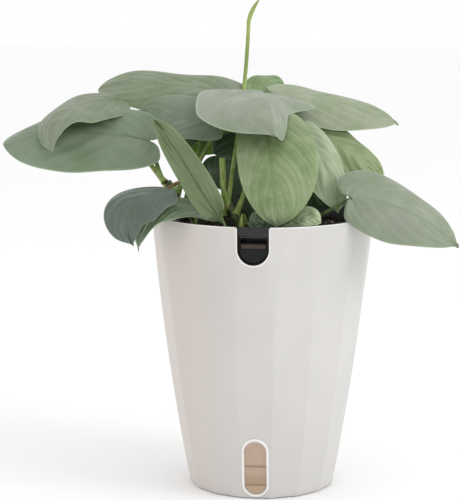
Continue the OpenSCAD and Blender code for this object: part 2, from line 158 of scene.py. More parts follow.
# %% Helpers for finishes
def linear(rgb):
    """Colour as the shader wants it, from 0 to 255 as a paint chart gives it."""
    chart = [c / 255 for c in rgb]
    return tuple(c / 12.92 if c <= 0.04045 else ((c + 0.055) / 1.055) ** 2.4 for c in chart) + (1.0,)


class Finish:
    """A new material and short ways to shape it; Coat_Weight=0.6 sets the socket Coat Weight."""

    def __init__(self, name, **settings):
        self.material = bpy.data.materials.new(name)
        self.material.use_nodes = True
        self.tree = self.material.node_tree
        self.shader = self.tree.nodes["Principled BSDF"]
        for socket, value in settings.items():
            self.shader.inputs[socket.replace("_", " ")].default_value = value

    def place(self):
        return self.tree.nodes.new("ShaderNodeTexCoord").outputs["Object"]

    def stretched(self, scale):
        node = self.tree.nodes.new("ShaderNodeMapping")
        node.inputs["Scale"].default_value = scale
        self.tree.links.new(self.place(), node.inputs["Vector"])
        return node.outputs["Vector"]

    def noise(self, scale, detail=3.0, rough=0.55, at=None):
        node = self.tree.nodes.new("ShaderNodeTexNoise")
        node.inputs["Scale"].default_value = scale
        node.inputs["Detail"].default_value = detail
        node.inputs["Roughness"].default_value = rough
        self.tree.links.new(at or self.place(), node.inputs["Vector"])
        return Wire(self.tree, node.outputs["Fac"])

    def axis(self, name):
        node = self.tree.nodes.new("ShaderNodeSeparateXYZ")
        self.tree.links.new(self.place(), node.inputs[0])
        return Wire(self.tree, node.outputs[name])

    def across(self):
        """The piece's own map: how far along it a point lies, and how far across."""
        source = self.tree.nodes.new("ShaderNodeUVMap")
        node = self.tree.nodes.new("ShaderNodeSeparateXYZ")
        self.tree.links.new(source.outputs["UV"], node.inputs[0])
        return Wire(self.tree, node.outputs["X"]), Wire(self.tree, node.outputs["Y"])

    def mix(self, factor, first, second):
        """first where factor is 0, second where it is 1; each a colour or a socket."""
        node = self.tree.nodes.new("ShaderNodeMix")
        node.data_type = "RGBA"
        self.tree.links.new(factor.socket, node.inputs["Factor"])
        for name, value in (("A", first), ("B", second)):
            socket = [s for s in node.inputs if s.name == name and s.type == "RGBA"][0]
            if isinstance(value, tuple):
                socket.default_value = value
            else:
                self.tree.links.new(value, socket)
        return [s for s in node.outputs if s.type == "RGBA"][0]

    def to(self, socket, value):
        source = value.socket if isinstance(value, Wire) else value
        self.tree.links.new(source, self.shader.inputs[socket])

    def bump(self, height, strength, distance):
        node = self.tree.nodes.new("ShaderNodeBump")
        node.inputs["Strength"].default_value = strength
        node.inputs["Distance"].default_value = distance
        self.tree.links.new(height.socket, node.inputs["Height"])
        self.to("Normal", node.outputs["Normal"])


# %% [markdown]
# ## White moulded pot
# The pot is a glossy white plastic with a fine moulding grain, which only shows where light
# grazes it. A faint cool drift keeps the large white side from looking painted on, and the left
# side is tinted warmer and darker as painted shade.

# %% White plastic
def white_plastic(name, pale, cool, warm):
    f = Finish(name, IOR=1.46, Coat_Weight=0.15, Coat_Roughness=0.25)
    drift = f.noise(14.0, 2.0)
    tone = f.mix(drift.step(0.35, 0.65), linear(pale), linear(cool))
    # the left side is tinted warmer and darker: painted shade, with the warm light from the left
    left = f.axis("X").step(0.01, -0.06)
    f.to("Base Color", f.mix(left * 0.7, tone, linear(warm)))
    f.to("Roughness", f.noise(900.0, 2.0) * 0.12 + 0.28)
    f.bump(f.noise(1600.0, 2.0), 0.12, 0.0002)
    return f.material


pot_white = white_plastic("white_plastic", (205, 203, 200), (200, 198, 196), (198, 187, 180))
# a brighter copy of the white for the notch edge, the window bead and the rim edge: painted highlight
painted_highlight_white = white_plastic("white_edge_painted_highlight", (236, 234, 231), (231, 229, 227), (226, 220, 215))
print("white finishes", pot_white.name, "and", painted_highlight_white.name)

# %% [markdown]
# ## Black, amber and clear plastic
# The liner is a black moulding, slightly scuffed and dusty in patches. The strip behind the
# filling notch is a dark amber one. The window is clear, but what lies behind it is the warm
# light inside the white pot, so it is given that tint, with a dark line at each level mark.

# %% Black, amber and clear plastic
def black_plastic(name, dark, dusty, gloss, shine=0.5):
    f = Finish(name, IOR=1.47, Specular_IOR_Level=shine)
    dust = f.noise(160.0, 5.0, 0.65).step(0.5, 0.75)
    f.to("Base Color", f.mix(dust * 0.6, linear(dark), linear(dusty)))
    f.to("Roughness", dust * 0.3 + gloss)
    f.bump(f.noise(700.0, 3.0), 0.2, 0.0003)
    return f.material


# heights on the pot, in metres: the two level marks, where the tint changes and where it ends
LEVEL_MARKS = (0.0093, 0.0228)
TINT_FROM, TINT_TO = 0.013, 0.019
TINT_END = 0.009


def window_plastic():
    f = Finish("window_plastic", IOR=1.49, Transmission_Weight=0.12, Coat_Weight=0.6,
               Coat_Roughness=0.08)
    height = f.axis("Z")
    warm = f.mix(height.step(TINT_FROM, TINT_TO), linear((178, 152, 124)), linear((192, 165, 144)))
    warm = f.mix(height.step(TINT_END + 0.0004, TINT_END), warm, linear((196, 168, 140)))
    for level in LEVEL_MARKS:
        line = (height - level).abs().step(0.0011, 0.0003)
        warm = f.mix(line * 0.6, warm, linear((134, 108, 88)))
    cloud = f.noise(70.0, 3.0).step(0.4, 0.7)
    f.to("Base Color", f.mix(cloud * 0.3, warm, linear((180, 152, 134))))
    f.to("Roughness", f.noise(300.0, 2.0) * 0.1 + 0.12)
    return f.material


liner_black = black_plastic("liner_black", (26, 26, 28), (62, 62, 64), 0.36)
# the mouth's black is darker than the liner's: painted shade of the recess behind the notch
mouth_black = black_plastic("mouth_black", (15, 13, 13), (36, 34, 33), 0.3, 0.28)
# a grey copy of the black for two thin strips on the mouth: painted highlight
painted_highlight_grey = black_plastic("painted_highlight_grey", (70, 70, 72), (104, 104, 106), 0.3)
sill_amber = black_plastic("sill_amber", (58, 44, 40), (80, 64, 58), 0.25, 0.35)
window_clear = window_plastic()
print("black parts in", liner_black.name, mouth_black.name, painted_highlight_grey.name, "and", sill_amber.name)

# %% [markdown]
# ## Leaf finishes
# The leaves are leathery, with a silver bloom over green. The bloom is broken up into small
# clouds, thins out along the veins and is missing on the underside, which is a fresh plain green.
# The map of a leaf runs from its stalk to its tip and from the left margin to the right one, so
# the side veins can be drawn as a sum: they leave the midrib at even steps and sweep forward.

# %% Leaf finishes
VEINS = 5
VEIN_SWEEP = 0.6
MIDRIB_V = 0.5
LEAF_GLOW = (0.6, 1.0, 0.3)


def vein_wave(along, across):
    """1 on a side vein and 0 half way between two; across is 0 at the midrib, 1 at the margin."""
    return ((along - across ** 1.4 * VEIN_SWEEP) * (VEINS * 2 * math.pi)).math("COSINE") * 0.5 + 0.5


def leaf_upper(name, silver, green, vein, streaks):
    """Upper face: a silver tone over a green one; streaks from 0, plain, to 1, strongly veined."""
    f = Finish(name, IOR=1.42, Subsurface_Weight=0.08, Subsurface_Radius=LEAF_GLOW,
               Subsurface_Scale=0.002, Sheen_Weight=0.12, Sheen_Roughness=0.5)
    along, v = f.across()
    across = (v - MIDRIB_V).abs() * 2
    wander = f.noise(24.0, 2.0) * 0.16 + f.noise(90.0, 2.0) * 0.04
    wave = vein_wave(along + wander, across)
    clouds = f.noise(48.0, 5.0, 0.62).step(0.36, 0.66)
    patches = f.noise(16.0, 2.0).step(0.4, 0.62)
    base = f.mix(clouds * 0.55 + patches * 0.3, linear(silver), linear(green))
    broken = f.noise(30.0, 3.0).step(0.3, 0.65)
    furrow = wave.step(0.9, 1.0) * broken * (0.3 + 0.4 * streaks)
    base = f.mix(furrow, base, linear(vein))
    between = wave.step(0.35, 0.0) * broken * (0.04 + 0.4 * streaks)
    base = f.mix(between, base, linear(green))
    midrib = across.step(0.07, 0.015) * 0.6
    base = f.mix(midrib, base, linear(vein))
    margin = across.step(0.955, 0.99) * 0.7
    base = f.mix(margin, base, linear([min(255, c + 34) for c in vein]))
    f.to("Base Color", base)
    f.to("Roughness", clouds * 0.12 + 0.4)
    fine = f.noise(1100.0, 2.0) * 0.35 + wave.step(0.85, 1.0) * -0.5 + f.noise(240.0, 3.0) * 0.5
    f.bump(fine, 0.25, 0.0004)
    return f.material


def leaf_under(name, green, vein):
    f = Finish(name, Roughness=0.48, IOR=1.42, Subsurface_Weight=0.1,
               Subsurface_Radius=LEAF_GLOW, Subsurface_Scale=0.002)
    along, v = f.across()
    across = (v - MIDRIB_V).abs() * 2
    wave = vein_wave(along, across)
    base = f.mix(f.noise(40.0, 4.0).step(0.3, 0.7), linear(green), linear([c * 0.86 for c in green]))
    base = f.mix(wave.step(0.9, 1.0) * 0.3, base, linear(vein))
    f.to("Base Color", f.mix(across.step(0.06, 0.02) * 0.6, base, linear(vein)))
    f.bump(f.noise(500.0, 3.0), 0.3, 0.0003)
    return f.material


# tone of each leaf: silver bloom, green below it, veins, how strongly it is streaked
TONES = {
    "far_left": [(126, 140, 120), (106, 124, 94), (112, 128, 102), 0.15],
    "upper_left": [(127, 137, 115), (108, 122, 93), (112, 126, 97), 0.2],
    "back_left": [(130, 140, 119), (112, 127, 92), (116, 129, 98), 0.35],
    "under_left": [(128, 141, 123), (100, 118, 90), (112, 128, 104), 0.15],
    "centre": [(142, 151, 133), (123, 136, 110), (126, 138, 114), 0.3],
    "crown": [(132, 154, 111), (108, 135, 82), (146, 164, 120), 0.3],
    "front": [(150, 163, 128), (102, 126, 76), (106, 130, 78), 0.7],
    "right": [(142, 151, 133), (120, 134, 106), (126, 138, 112), 0.25],
    "upper_right": [(153, 162, 139), (130, 144, 108), (138, 151, 117), 0.3],
    "front_right": [(164, 176, 148), (136, 154, 114), (152, 167, 132), 0.35],
    "back_right": [(144, 158, 118), (120, 141, 88), (132, 151, 102), 0.5],
    "lower_left": [(92, 105, 96), (74, 88, 74), (80, 95, 80), 0.2],
    "rim_left": [(142, 157, 136), (118, 138, 106), (142, 158, 126), 0.3],
    "folded": [(117, 131, 98), (93, 112, 70), (104, 122, 80), 0.3],
    # inner_left and inner_right are darkened: painted shade deep inside the plant
    "inner_left": [(74, 93, 70), (54, 72, 46), (64, 84, 54), 0.2],
    "inner_right": [(56, 75, 52), (38, 55, 34), (50, 70, 42), 0.2],
    "notch": [(132, 150, 124), (106, 128, 92), (122, 142, 108), 0.2],
    # rim_right is lightened to make up for the shade it lies in: painted light
    "rim_right": [(184, 198, 164), (156, 174, 134), (172, 188, 148), 0.3],
    # shaded is darkened: painted shade
    "shaded": [(80, 98, 64), (58, 78, 42), (76, 98, 56), 0.2],
    "rear_left": [(146, 157, 138), (124, 142, 110), (134, 148, 118), 0.3],
    "rear": [(156, 166, 146), (134, 150, 118), (142, 156, 126), 0.3],
    # rear_right is darkened: painted shade at the back of the pot
    "rear_right": [(66, 84, 56), (48, 66, 40), (60, 80, 50), 0.3],
}
under_green = leaf_under("leaf_underside", (104, 136, 66), (138, 162, 98))
# a brighter copy of the underside for leaves seen against the light: painted backlight
under_lit = leaf_under("leaf_underside_lit", (126, 162, 70), (154, 186, 100))
blade_finish = {n: leaf_upper("leaf_" + n, *tone) for n, tone in TONES.items()}
print(len(blade_finish), "leaf finishes")

# %% [markdown]
# ## Stalks, stems and soil
# Stalks are smooth and yellow-green with fine lengthwise lines. The old stem is darker, with
# brown scars. The potting mix is dark and damp, with bark and a few white grains.

# %% Stalks, stems and soil finishes
def green_stalk(name, pale, deep, brown=None):
    f = Finish(name, Roughness=0.42, IOR=1.42, Subsurface_Weight=0.08, Subsurface_Scale=0.002)
    lines = f.noise(260.0, 3.0, 0.6, f.stretched((1.0, 1.0, 0.12)))
    base = f.mix(lines.step(0.38, 0.62), linear(pale), linear(deep))
    if brown:
        base = f.mix(f.noise(110.0, 4.0).step(0.52, 0.64), base, linear(brown))
    f.to("Base Color", base)
    f.bump(lines, 0.3, 0.0005)
    return f.material


def rough_matter(name, dark, light, scale, roughness=0.85):
    f = Finish(name, IOR=1.4)
    f.to("Base Color", f.mix(f.noise(scale, 5.0, 0.7).step(0.4, 0.68), linear(dark), linear(light)))
    f.to("Roughness", f.noise(scale * 2, 2.0) * 0.2 + (roughness - 0.1))
    f.bump(f.noise(scale * 3, 4.0), 0.6, 0.0008)
    return f.material


stalk_green = green_stalk("stalk_green", (128, 150, 78), (94, 120, 54))
stalk_pale = green_stalk("stalk_pale", (160, 176, 100), (128, 150, 74))
stalk_shaded = green_stalk("stalk_shaded", (78, 98, 54), (54, 74, 38))
stem_dark = green_stalk("stem_dark", (98, 110, 74), (66, 76, 50), (96, 78, 54))
soil_dark = rough_matter("soil_dark", (22, 17, 14), (52, 40, 31), 130.0)
bark_brown = rough_matter("bark_brown", (48, 34, 24), (92, 68, 48), 200.0)
grain_white = rough_matter("grain_white", (196, 190, 180), (226, 222, 214), 300.0)
sheath_brown = rough_matter("sheath_brown", (112, 86, 56), (150, 122, 84), 400.0, 0.7)
print(len(bpy.data.materials), "finishes in all")

# %% [markdown]
# ## The shape of a leaf
# Every leaf is the same sum with other numbers. A half outline gives the basal lobe, the belly
# and the drawn-out tip. The midrib is a curve in space, and each half is folded against it and
# curls away from it. The blade is a closed sheet, thickest at its midrib, with the side veins
# pressed into its upper face and the midrib standing out below. The table repeats the packed
# model's own numbers, in millimetres.

# %% Sums for curves
def bezier(p, t):
    t = np.asarray(t, float)[..., None]
    p = np.asarray(p, float)
    return (1 - t) ** 3 * p[0] + 3 * t * (1 - t) ** 2 * p[1] + 3 * t * t * (1 - t) * p[2] + t ** 3 * p[3]


def slope(p, t):
    t = np.asarray(t, float)[..., None]
    p = np.asarray(p, float)
    return 3 * (1 - t) ** 2 * (p[1] - p[0]) + 6 * t * (1 - t) * (p[2] - p[1]) + 3 * t * t * (p[3] - p[2])


def unit(v):
    return v / np.linalg.norm(v, axis=-1, keepdims=True)


def mix(a, b, t):
    return a + (b - a) * t


def length_of(p):
    points = bezier(p, np.linspace(0, 1, 25))
    return float(np.linalg.norm(np.diff(points, axis=0), axis=1).sum())


def midrib_path(leaf):
    """Four points of the curve that a leaf's midrib follows."""
    third = mix(leaf.base, leaf.tip, 1 / 3)
    two_thirds = mix(leaf.base, leaf.tip, 2 / 3)
    return np.array([leaf.base, third + leaf.bow1, two_thirds + leaf.bow2, leaf.tip])


# %% Table of the leaves
def V(*c):
    """A point or a direction."""
    return np.array(c, float)


# insertion and tip, two bows of the midrib, upward at the insertion and at the tip, then for the
# left and right half: widths, lobes, folds [at the insertion, at the tip]; and curl, wave, waist of
# the left half and fullness of the tip
Leaf = namedtuple("Leaf", "base tip bow1 bow2 up0 up1 widths lobes folds curl wave waist full")
LEAVES = {
    "far_left": [V(-77, -12, 235), V(-169, -40, 234), V(0, 0, 8), V(0, -2, 12),
        V(0, -0.9, 0.5), V(0, -0.8, 0.6), [30, 24], [9, 10], [[32, -15], [5, -35]], -25, 1, 0, 0.9],
    "upper_left": [V(-101, 2, 261), V(-133, -58, 232), V(-6, -3, 8), V(-15, -2, 19),
        V(-0.1, -0.8, 0.8), V(-0.7, -0.7, 0.3), [18, 25], [6, 6], [[-5, 0], [-5, 0]], -30, 1, 0, 0.2],
    "back_left": [V(-29, 18, 266), V(-118, 34, 266), V(0, 0, 4), V(0, 0, 6),
        V(0, -0.6, 0.8), V(0, -0.6, 0.8), [23, 18], [12, 12], [[0, 0], [5, 0]], -25, 1, 0, 0.7],
    "under_left": [V(-34, -8, 246), V(-88, 1, 248), V(0, 0, 3), V(0, 0, 3),
        V(0, -0.8, 0.6), V(0, -0.85, 0.5), [14, 20], [10, 10], [[-5, 0], [0, 0]], -15, 1, 0, 0.2],
    "centre": [V(0, 6, 266), V(13, -66, 245), V(0, 0, 7), V(0, -2, 11),
        V(-0.05, -0.35, 1), V(-0.1, -0.6, 1), [41, 48], [16, 18], [[-16, -75], [12, -5]], -12, 1, 0.6, 0],
    "crown": [V(-8, 36, 264), V(12, 42, 260), V(0, 0, 4), V(0, 0, 4),
        V(0, -0.7, 0.7), V(0, -0.7, 0.7), [19, 14], [7, 7], [[-5, 0], [-5, 0]], -20, 1, 0, 0.4],
    "front": [V(5, -29, 247), V(14, -62, 184), V(0, -11, 8), V(2, -9, 2),
        V(0.1, -0.75, 0.6), V(0, -1, 0.2), [31, 22], [14, 9], [[5, 5], [5, 5]], -25, 1, 0, 0],
    "right": [V(62, -47, 203), V(132, -50, 172), V(0, 0, 9), V(0, 0, 11),
        V(-0.1, -0.7, 0.7), V(0, -0.7, 0.7), [27, 24], [12, 5], [[5, -35], [-45, 12]], -25, 1, 0, 0],
    "upper_right": [V(13, 26, 262), V(91, 43, 243), V(0, 0, 4), V(0, 0, 7),
        V(0, -0.6, 0.8), V(0.1, -0.6, 0.8), [20, 22], [12, 12], [[-5, -20], [-5, 0]], -25, 1, 0, 0],
    "front_right": [V(27, -4, 243), V(53, -36, 191), V(3, -5, 6), V(4, -5, 4),
        V(0.4, -0.7, 0.5), V(0.4, -0.9, 0.3), [15, 18], [8, 10], [[5, 5], [5, 5]], -25, 1, 0, 0],
    "back_right": [V(36, 20, 239), V(80, 30, 200), V(4, 0, 4), V(6, 0, 4),
        V(0.2, -0.8, 0.6), V(0.3, -0.8, 0.4), [13, 18], [8, 10], [[0, 0], [0, 0]], -25, 1, 0, 0],
    "lower_left": [V(-52, -54, 207), V(-79, -66, 171), V(-8, 1, 9), V(-20, -5, 15),
        V(-0.1, -0.5, 0.9), V(-0.4, -0.9, 0.3), [17, 30], [0, -3], [[5, 5], [-22, 0]], -20, 1, 0, 0],
    "rim_left": [V(-31, -37, 190), V(-77, -59, 167), V(-6, 0, 15), V(-12, 0, 28),
        V(-0.1, -0.5, 0.9), V(-0.3, -0.8, 0.6), [12, 12], [5, 6], [[10, 0], [0, 0]], -10, 1, 0, 0],
    "folded": [V(-17, -58, 181), V(-70, -38, 253), V(-2, -6, 2), V(3, -5, 3),
        V(-0.3, -0.8, 0.2), V(-0.5, -0.8, 0.3), [10, 12], [-13, -13], [[35, 30], [20, 10]], -8, 1, 0, 0.1],
    "inner_left": [V(-31, -2, 224), V(2, -14, 205), V(0, -2, 4), V(0, -2, 4),
        V(0, -0.9, 0.4), V(0, -0.9, 0.4), [21, 20], [8, 8], [[5, 5], [5, 5]], -20, 1, 0, 0.4],
    "inner_right": [V(-16, -10, 202), V(24, -32, 190), V(0, -4, 3), V(0, -4, 3),
        V(0, -0.7, 0.7), V(0, -0.8, 0.5), [16, 18], [6, 6], [[5, 5], [5, 5]], -20, 1, 0, 0],
    "notch": [V(6, -50, 179), V(-2, -54, 193), V(0, -1, 0), V(0, -1, 0),
        V(0, -1, 0.2), V(0, -1, 0.2), [7, 7], [2, 2], [[5, 5], [5, 5]], -20, 0.3, 0, 0],
    "rim_right": [V(18, -44, 184), V(43, -54, 187), V(0, -3, 4), V(0, -3, 4),
        V(0, -0.7, 0.7), V(0, -0.7, 0.6), [12, 9], [3, 3], [[5, 5], [5, 5]], -20, 0.5, 0, 0],
    "shaded": [V(-46, 12, 246), V(-70, 8, 227), V(0, -3, 2), V(0, -3, 2),
        V(0, -0.9, 0.4), V(0, -0.9, 0.3), [13, 13], [5, 5], [[5, 5], [5, 5]], -20, 0.5, 0, 0.4],
    "rear_left": [V(-14, 38, 248), V(-66, 36, 224), V(0, 2, 4), V(0, 2, 4),
        V(0, 0.8, 0.6), V(0, 0.8, 0.6), [22, 22], [10, 10], [[0, 0], [0, 0]], -20, 1, 0, 0.2],
    "rear": [V(8, 36, 232), V(14, 100, 214), V(0, 0, 8), V(0, 0, 12),
        V(0, 0.3, 1), V(0, 0.4, 1), [26, 26], [12, 12], [[0, 0], [0, 0]], -25, 1, 0, 0.2],
    # rear_right stands low at the back as a dark leaf filling the shadow there: painted shade
    "rear_right": [V(28, 28, 216), V(50, 34, 185), V(0, -3, 4), V(0, -3, 4),
        V(0, -0.8, 0.6), V(0, -0.8, 0.5), [20, 20], [8, 8], [[5, 5], [5, 5]], -20, 1, 0, 0.2],
}
LEAVES = {name: Leaf(*row) for name, row in LEAVES.items()}
print(len(LEAVES), "leaves")

# %% [markdown]
# A mesh is made from points, faces and, where a finish follows the piece, a map. Shading is
# smooth except where two faces meet at a real edge.

# %% Make a mesh
def make_piece(name, points, faces, materials, uv=None, face_slots=None, edge_deg=50):
    mesh = bpy.data.meshes.new(name)
    mesh.from_pydata([tuple(float(c) for c in p) for p in points], [], faces)
    for m in materials:
        mesh.materials.append(m)
    if face_slots is not None:
        mesh.polygons.foreach_set("material_index", face_slots)
    if uv is not None:
        layer = mesh.uv_layers.new(name="blade")
        corners = np.empty(len(mesh.loops), dtype=np.int32)
        mesh.loops.foreach_get("vertex_index", corners)
        layer.data.foreach_set("uv", np.asarray(uv, float)[corners].ravel())
    mesh.shade_smooth()
    mesh.set_sharp_from_angle(angle=math.radians(edge_deg))
    return add_object(name, mesh)


# %% The outline of a leaf
WIDEST = 0.4
SINUS = 0.06
TAIL_FROM, TAIL_SPAN, TAIL_PINCH = 0.9, 0.08, 0.55


def half_outline(t, l, w, b, waist, full):
    """Flat half outline at t from the stalk (0) to the tip (1): along and across, in mm."""
    x = WIDEST * l
    parts = [([(0, 0), (-0.6 * b, 0.02 * w), (-b, 0.17 * w), (-b, 0.5 * w)], 0.0, 0.3),
             ([(-b, 0.5 * w), (-b, 0.8 * w), (x - 0.6 * (x + b), w), (x, w)], 0.3, 0.6),
             ([(x, w), (mix(x, l, 0.6 + 0.08 * full), w),
               (mix(x, l, 0.93 + 0.07 * full), (0.3 + 0.25 * full) * w), (l, 0)], 0.6, 1.0)]
    for curve, start, end in parts:
        if t <= end:
            along, across = bezier(curve, (t - start) / (end - start))
            break
    tail = min(1, max(0, (along / l - TAIL_FROM) / TAIL_SPAN)) * (1 - full)
    pinch = 1 - waist * math.sin(math.pi * min(1, max(0, along / l)))
    return along, across * pinch * (1 - TAIL_PINCH * tail ** 2)


# %% Bend a flat leaf
TAIL_DROOP = 2.0


def bend(leaf, l, x, y, side, h):
    """Places flat points (x, y) of one half on the bent blade, h above its middle."""
    p = midrib_path(leaf)
    u = np.clip(x / l, 0, 1)
    d = slope(p, u)
    t = unit(d)
    n = mix(leaf.up0, leaf.up1, u[:, None])
    n = unit(n - t * (n * t).sum(1, keepdims=True))
    s = np.cross(t, n) * (-1 if side == 0 else 1)
    width = leaf.widths[side]
    share = y / width
    curl = math.radians(leaf.curl)
    fold = np.radians(mix(leaf.folds[side][0], leaf.folds[side][1], u))
    turn = fold + curl * share
    across = (np.sin(turn) - np.sin(fold)) / curl * width - np.sin(turn) * h
    rise = (np.cos(fold) - np.cos(turn)) / curl * width + np.cos(turn) * h
    rise = rise + leaf.wave * np.sin(np.radians(540 * u + 60 * side)) * share * share
    droop = np.clip((u - TAIL_FROM) / (1 - TAIL_FROM), 0, 1) ** 2
    rise = rise - TAIL_DROOP * (1 - leaf.full) * droop
    return bezier(p, u) + d * np.minimum(0, x / l)[:, None] + s * across[:, None] + n * rise[:, None]


# %% Relief of a leaf
RIB_WIDTH = 0.05
RIB_ABOVE, RIB_BELOW = 0.35, 0.9
PUCKER_MM = 0.3
RIPPLE_MM = 2.2


def relief(along, across, under, strength):
    """How far the veins and the puckers between them lift a face, in mm."""
    wave = 0.5 + 0.5 * math.cos(2 * math.pi * VEINS * (along - VEIN_SWEEP * across ** 1.4))
    fade = min(1, across * 6) * min(1, (1 - across) * 5) * min(1, (1 - along) * 6)
    rib = math.exp(-((across / RIB_WIDTH) ** 2)) * (1 - along) ** 0.5
    pucker = strength * (PUCKER_MM * (1 - wave) - PUCKER_MM * wave ** 8) * fade
    return pucker - (RIB_BELOW if under else RIB_ABOVE) * rib


def ripple(along, across, side, seed):
    """Slow, uneven waves of the whole blade, in mm; no two leaves have the same."""
    spot = Vector((3.2 * along, 1.8 * across * (1 if side else -1), 2.7 * seed))
    return RIPPLE_MM * noise.noise(spot) * min(1, across * 3)


# %% Points of a leaf
ROWS = 60
COLS = 18
WIDTH = 2 * COLS + 1
EDGE_T = 0.22
CORE_T = 0.36


def half_row(name, i, side, under):
    """One row of one half, from the midrib out: its points, in mm, and their places on the map."""
    leaf = LEAVES[name]
    l = length_of(midrib_path(leaf))
    t = SINUS + (1 - SINUS) * i / ROWS
    waist = leaf.waist if side == 0 else 0
    edge_x, edge_y = half_outline(t, l, leaf.widths[side], leaf.lobes[side], waist, leaf.full)
    q = np.arange(0 if side else 1, COLS + 1) / COLS
    x = mix(l * (i / ROWS) ** 1.5, edge_x, q)
    strength = 1.0 + 0.8 * TONES[name][-1]
    seed = list(LEAVES).index(name)
    thick = mix(CORE_T, EDGE_T, q ** 3) * (-1 if under else 1)
    lift = [relief(max(0.0, a / l), b, under, strength) + ripple(a / l, b, side, seed)
            for a, b in zip(x, q)]
    row = bend(leaf, l, x, edge_y * q, side, thick + np.array(lift))
    v = MIDRIB_V + (0.5 if side else -0.5) * q
    return row, np.stack([np.clip(x / l, 0, 1), v], 1)


def blade_points(name):
    """Upper face, then lower face: rows from the left margin to the right one, and the tip."""
    leaf = LEAVES[name]
    l = length_of(midrib_path(leaf))
    points, uv = [], []
    for under in (False, True):
        for i in range(ROWS):
            left, left_uv = half_row(name, i, 0, under)
            right, right_uv = half_row(name, i, 1, under)
            points += [*left[::-1], *right]
            uv += [*left_uv[::-1], *right_uv]
        height = np.array([-EDGE_T if under else EDGE_T])
        points.append(bend(leaf, l, np.array([l]), np.array([0.0]), 0, height)[0])
        uv.append((1.0, MIDRIB_V))
    return points, uv


# %% Faces of a leaf
LAYER = ROWS * WIDTH + 1
# leaves whose underside takes the brighter copy: painted backlight
LIT_BELOW = ("rear_left", "shaded")


def blade_faces():
    """Faces of both sides and of the margin between them, and which side's finish each has."""
    faces, slots = [], []
    for under in (0, 1):
        def spot(i, j):
            return under * LAYER + (i * WIDTH + j if i < ROWS else ROWS * WIDTH)
        for i in range(ROWS):
            for j in range(WIDTH - 1):
                quad = [spot(i, j), spot(i, j + 1), spot(i + 1, j + 1), spot(i + 1, j)]
                if i == ROWS - 1:
                    quad = quad[:3]
                faces.append(quad[::-1] if under == 0 else quad)
                slots.append(under)
    rim = list(range(WIDTH)) + [i * WIDTH + WIDTH - 1 for i in range(1, ROWS)] + [LAYER - 1]
    rim += [i * WIDTH for i in range(ROWS - 1, 0, -1)]
    for a, b in zip(rim, rim[1:] + rim[:1]):
        faces.append([b, a, a + LAYER, b + LAYER][::-1])
        slots.append(0)
    return faces, slots


def leaf_blade(name):
    points, uv = blade_points(name)
    faces, slots = blade_faces()
    finish = [blade_finish[name], under_lit if name in LIT_BELOW else under_green]
    return make_piece("blade_" + name, np.array(points) * MM, faces, finish, uv, slots)


blades = {name: leaf_blade(name) for name in LEAVES}
print(len(blades), "blades of", len(blades["centre"].data.polygons), "faces each")

# %% [markdown]
# ## Geometry Nodes, built in the script
# A tree needs named inputs, so that the same tree serves every piece. The result is turned into
# a plain mesh at once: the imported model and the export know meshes, not recipes.

# %% Build and run a tree
def new_tree(name, inputs):
    tree = bpy.data.node_groups.new(name, "GeometryNodeTree")
    face = tree.interface
    face.new_socket("Geometry", in_out="INPUT", socket_type="NodeSocketGeometry")
    for label, kind, value in inputs:
        socket = face.new_socket(label, in_out="INPUT", socket_type="NodeSocket" + kind)
        if value is not None:
            socket.default_value = value
    face.new_socket("Geometry", in_out="OUTPUT", socket_type="NodeSocketGeometry")
    return tree, tree.nodes.new("NodeGroupInput").outputs, tree.nodes.new("NodeGroupOutput").inputs


def add_node(tree, kind, wires=None, **settings):
    """Adds a node, sets its properties and wires or sets its inputs by name or number."""
    node = tree.nodes.new(kind)
    for key, value in settings.items():
        setattr(node, key, value)
    for key, value in (wires or {}).items():
        if isinstance(value, Wire):
            value = value.socket
        if isinstance(value, bpy.types.NodeSocket):
            tree.links.new(value, node.inputs[key])
        else:
            node.inputs[key].default_value = value
    return node.outputs


def end_tree(tree, geometry, finish, result):
    """Every tree ends alike: instances are made real, and the finish is set."""
    whole = add_node(tree, "GeometryNodeRealizeInstances", {0: geometry})
    done = add_node(tree, "GeometryNodeSetMaterial", {"Geometry": whole[0], "Material": finish})
    tree.links.new(done[0], result["Geometry"])
    return tree


def run_tree(tree, source, name, **values):
    """Runs the tree on source and gives the result as a plain mesh object; source goes."""
    recipe = source.modifiers.new("recipe", "NODES")
    recipe.node_group = tree
    for item in tree.interface.items_tree:
        if item.in_out == "INPUT" and item.name in values:
            recipe[item.identifier] = values[item.name]
    graph = bpy.context.evaluated_depsgraph_get()
    mesh = bpy.data.meshes.new_from_object(source.evaluated_get(graph), depsgraph=graph)
    mesh.name = name
    old = source.data
    bpy.data.objects.remove(source)
    (bpy.data.curves if isinstance(old, bpy.types.Curve) else bpy.data.meshes).remove(old)
    return add_object(name, mesh)


# %% [markdown]
# ## Stalks and stems
# A stalk is a path that swells a little at its foot, where it clasps the stem, and again just
# under the blade. Sweeping a circle along a path is what Curve to Mesh does, so one small tree
# makes every shoot, and only the path and the radius along it differ.

# %% Tree that sweeps a shoot
def shoot_tree():
    tree, given, result = new_tree("sweep_shoot", [
        ("Sides", "Int", 14), ("Points", "Int", 40), ("Finish", "Material", None)])
    path = add_node(tree, "GeometryNodeResampleCurve", {
        "Curve": given["Geometry"], "Count": given["Points"]})
    ring = add_node(tree, "GeometryNodeCurvePrimitiveCircle", {
        "Resolution": given["Sides"], "Radius": 1.0})
    radius = add_node(tree, "GeometryNodeInputRadius")
    tube = add_node(tree, "GeometryNodeCurveToMesh", {
        "Curve": path[0], "Profile Curve": ring[0], "Scale": radius[0], "Fill Caps": True})
    smooth = add_node(tree, "GeometryNodeSetShadeSmooth", {0: tube[0]})
    return end_tree(tree, smooth[0], given["Finish"], result)


sweep_shoot = shoot_tree()


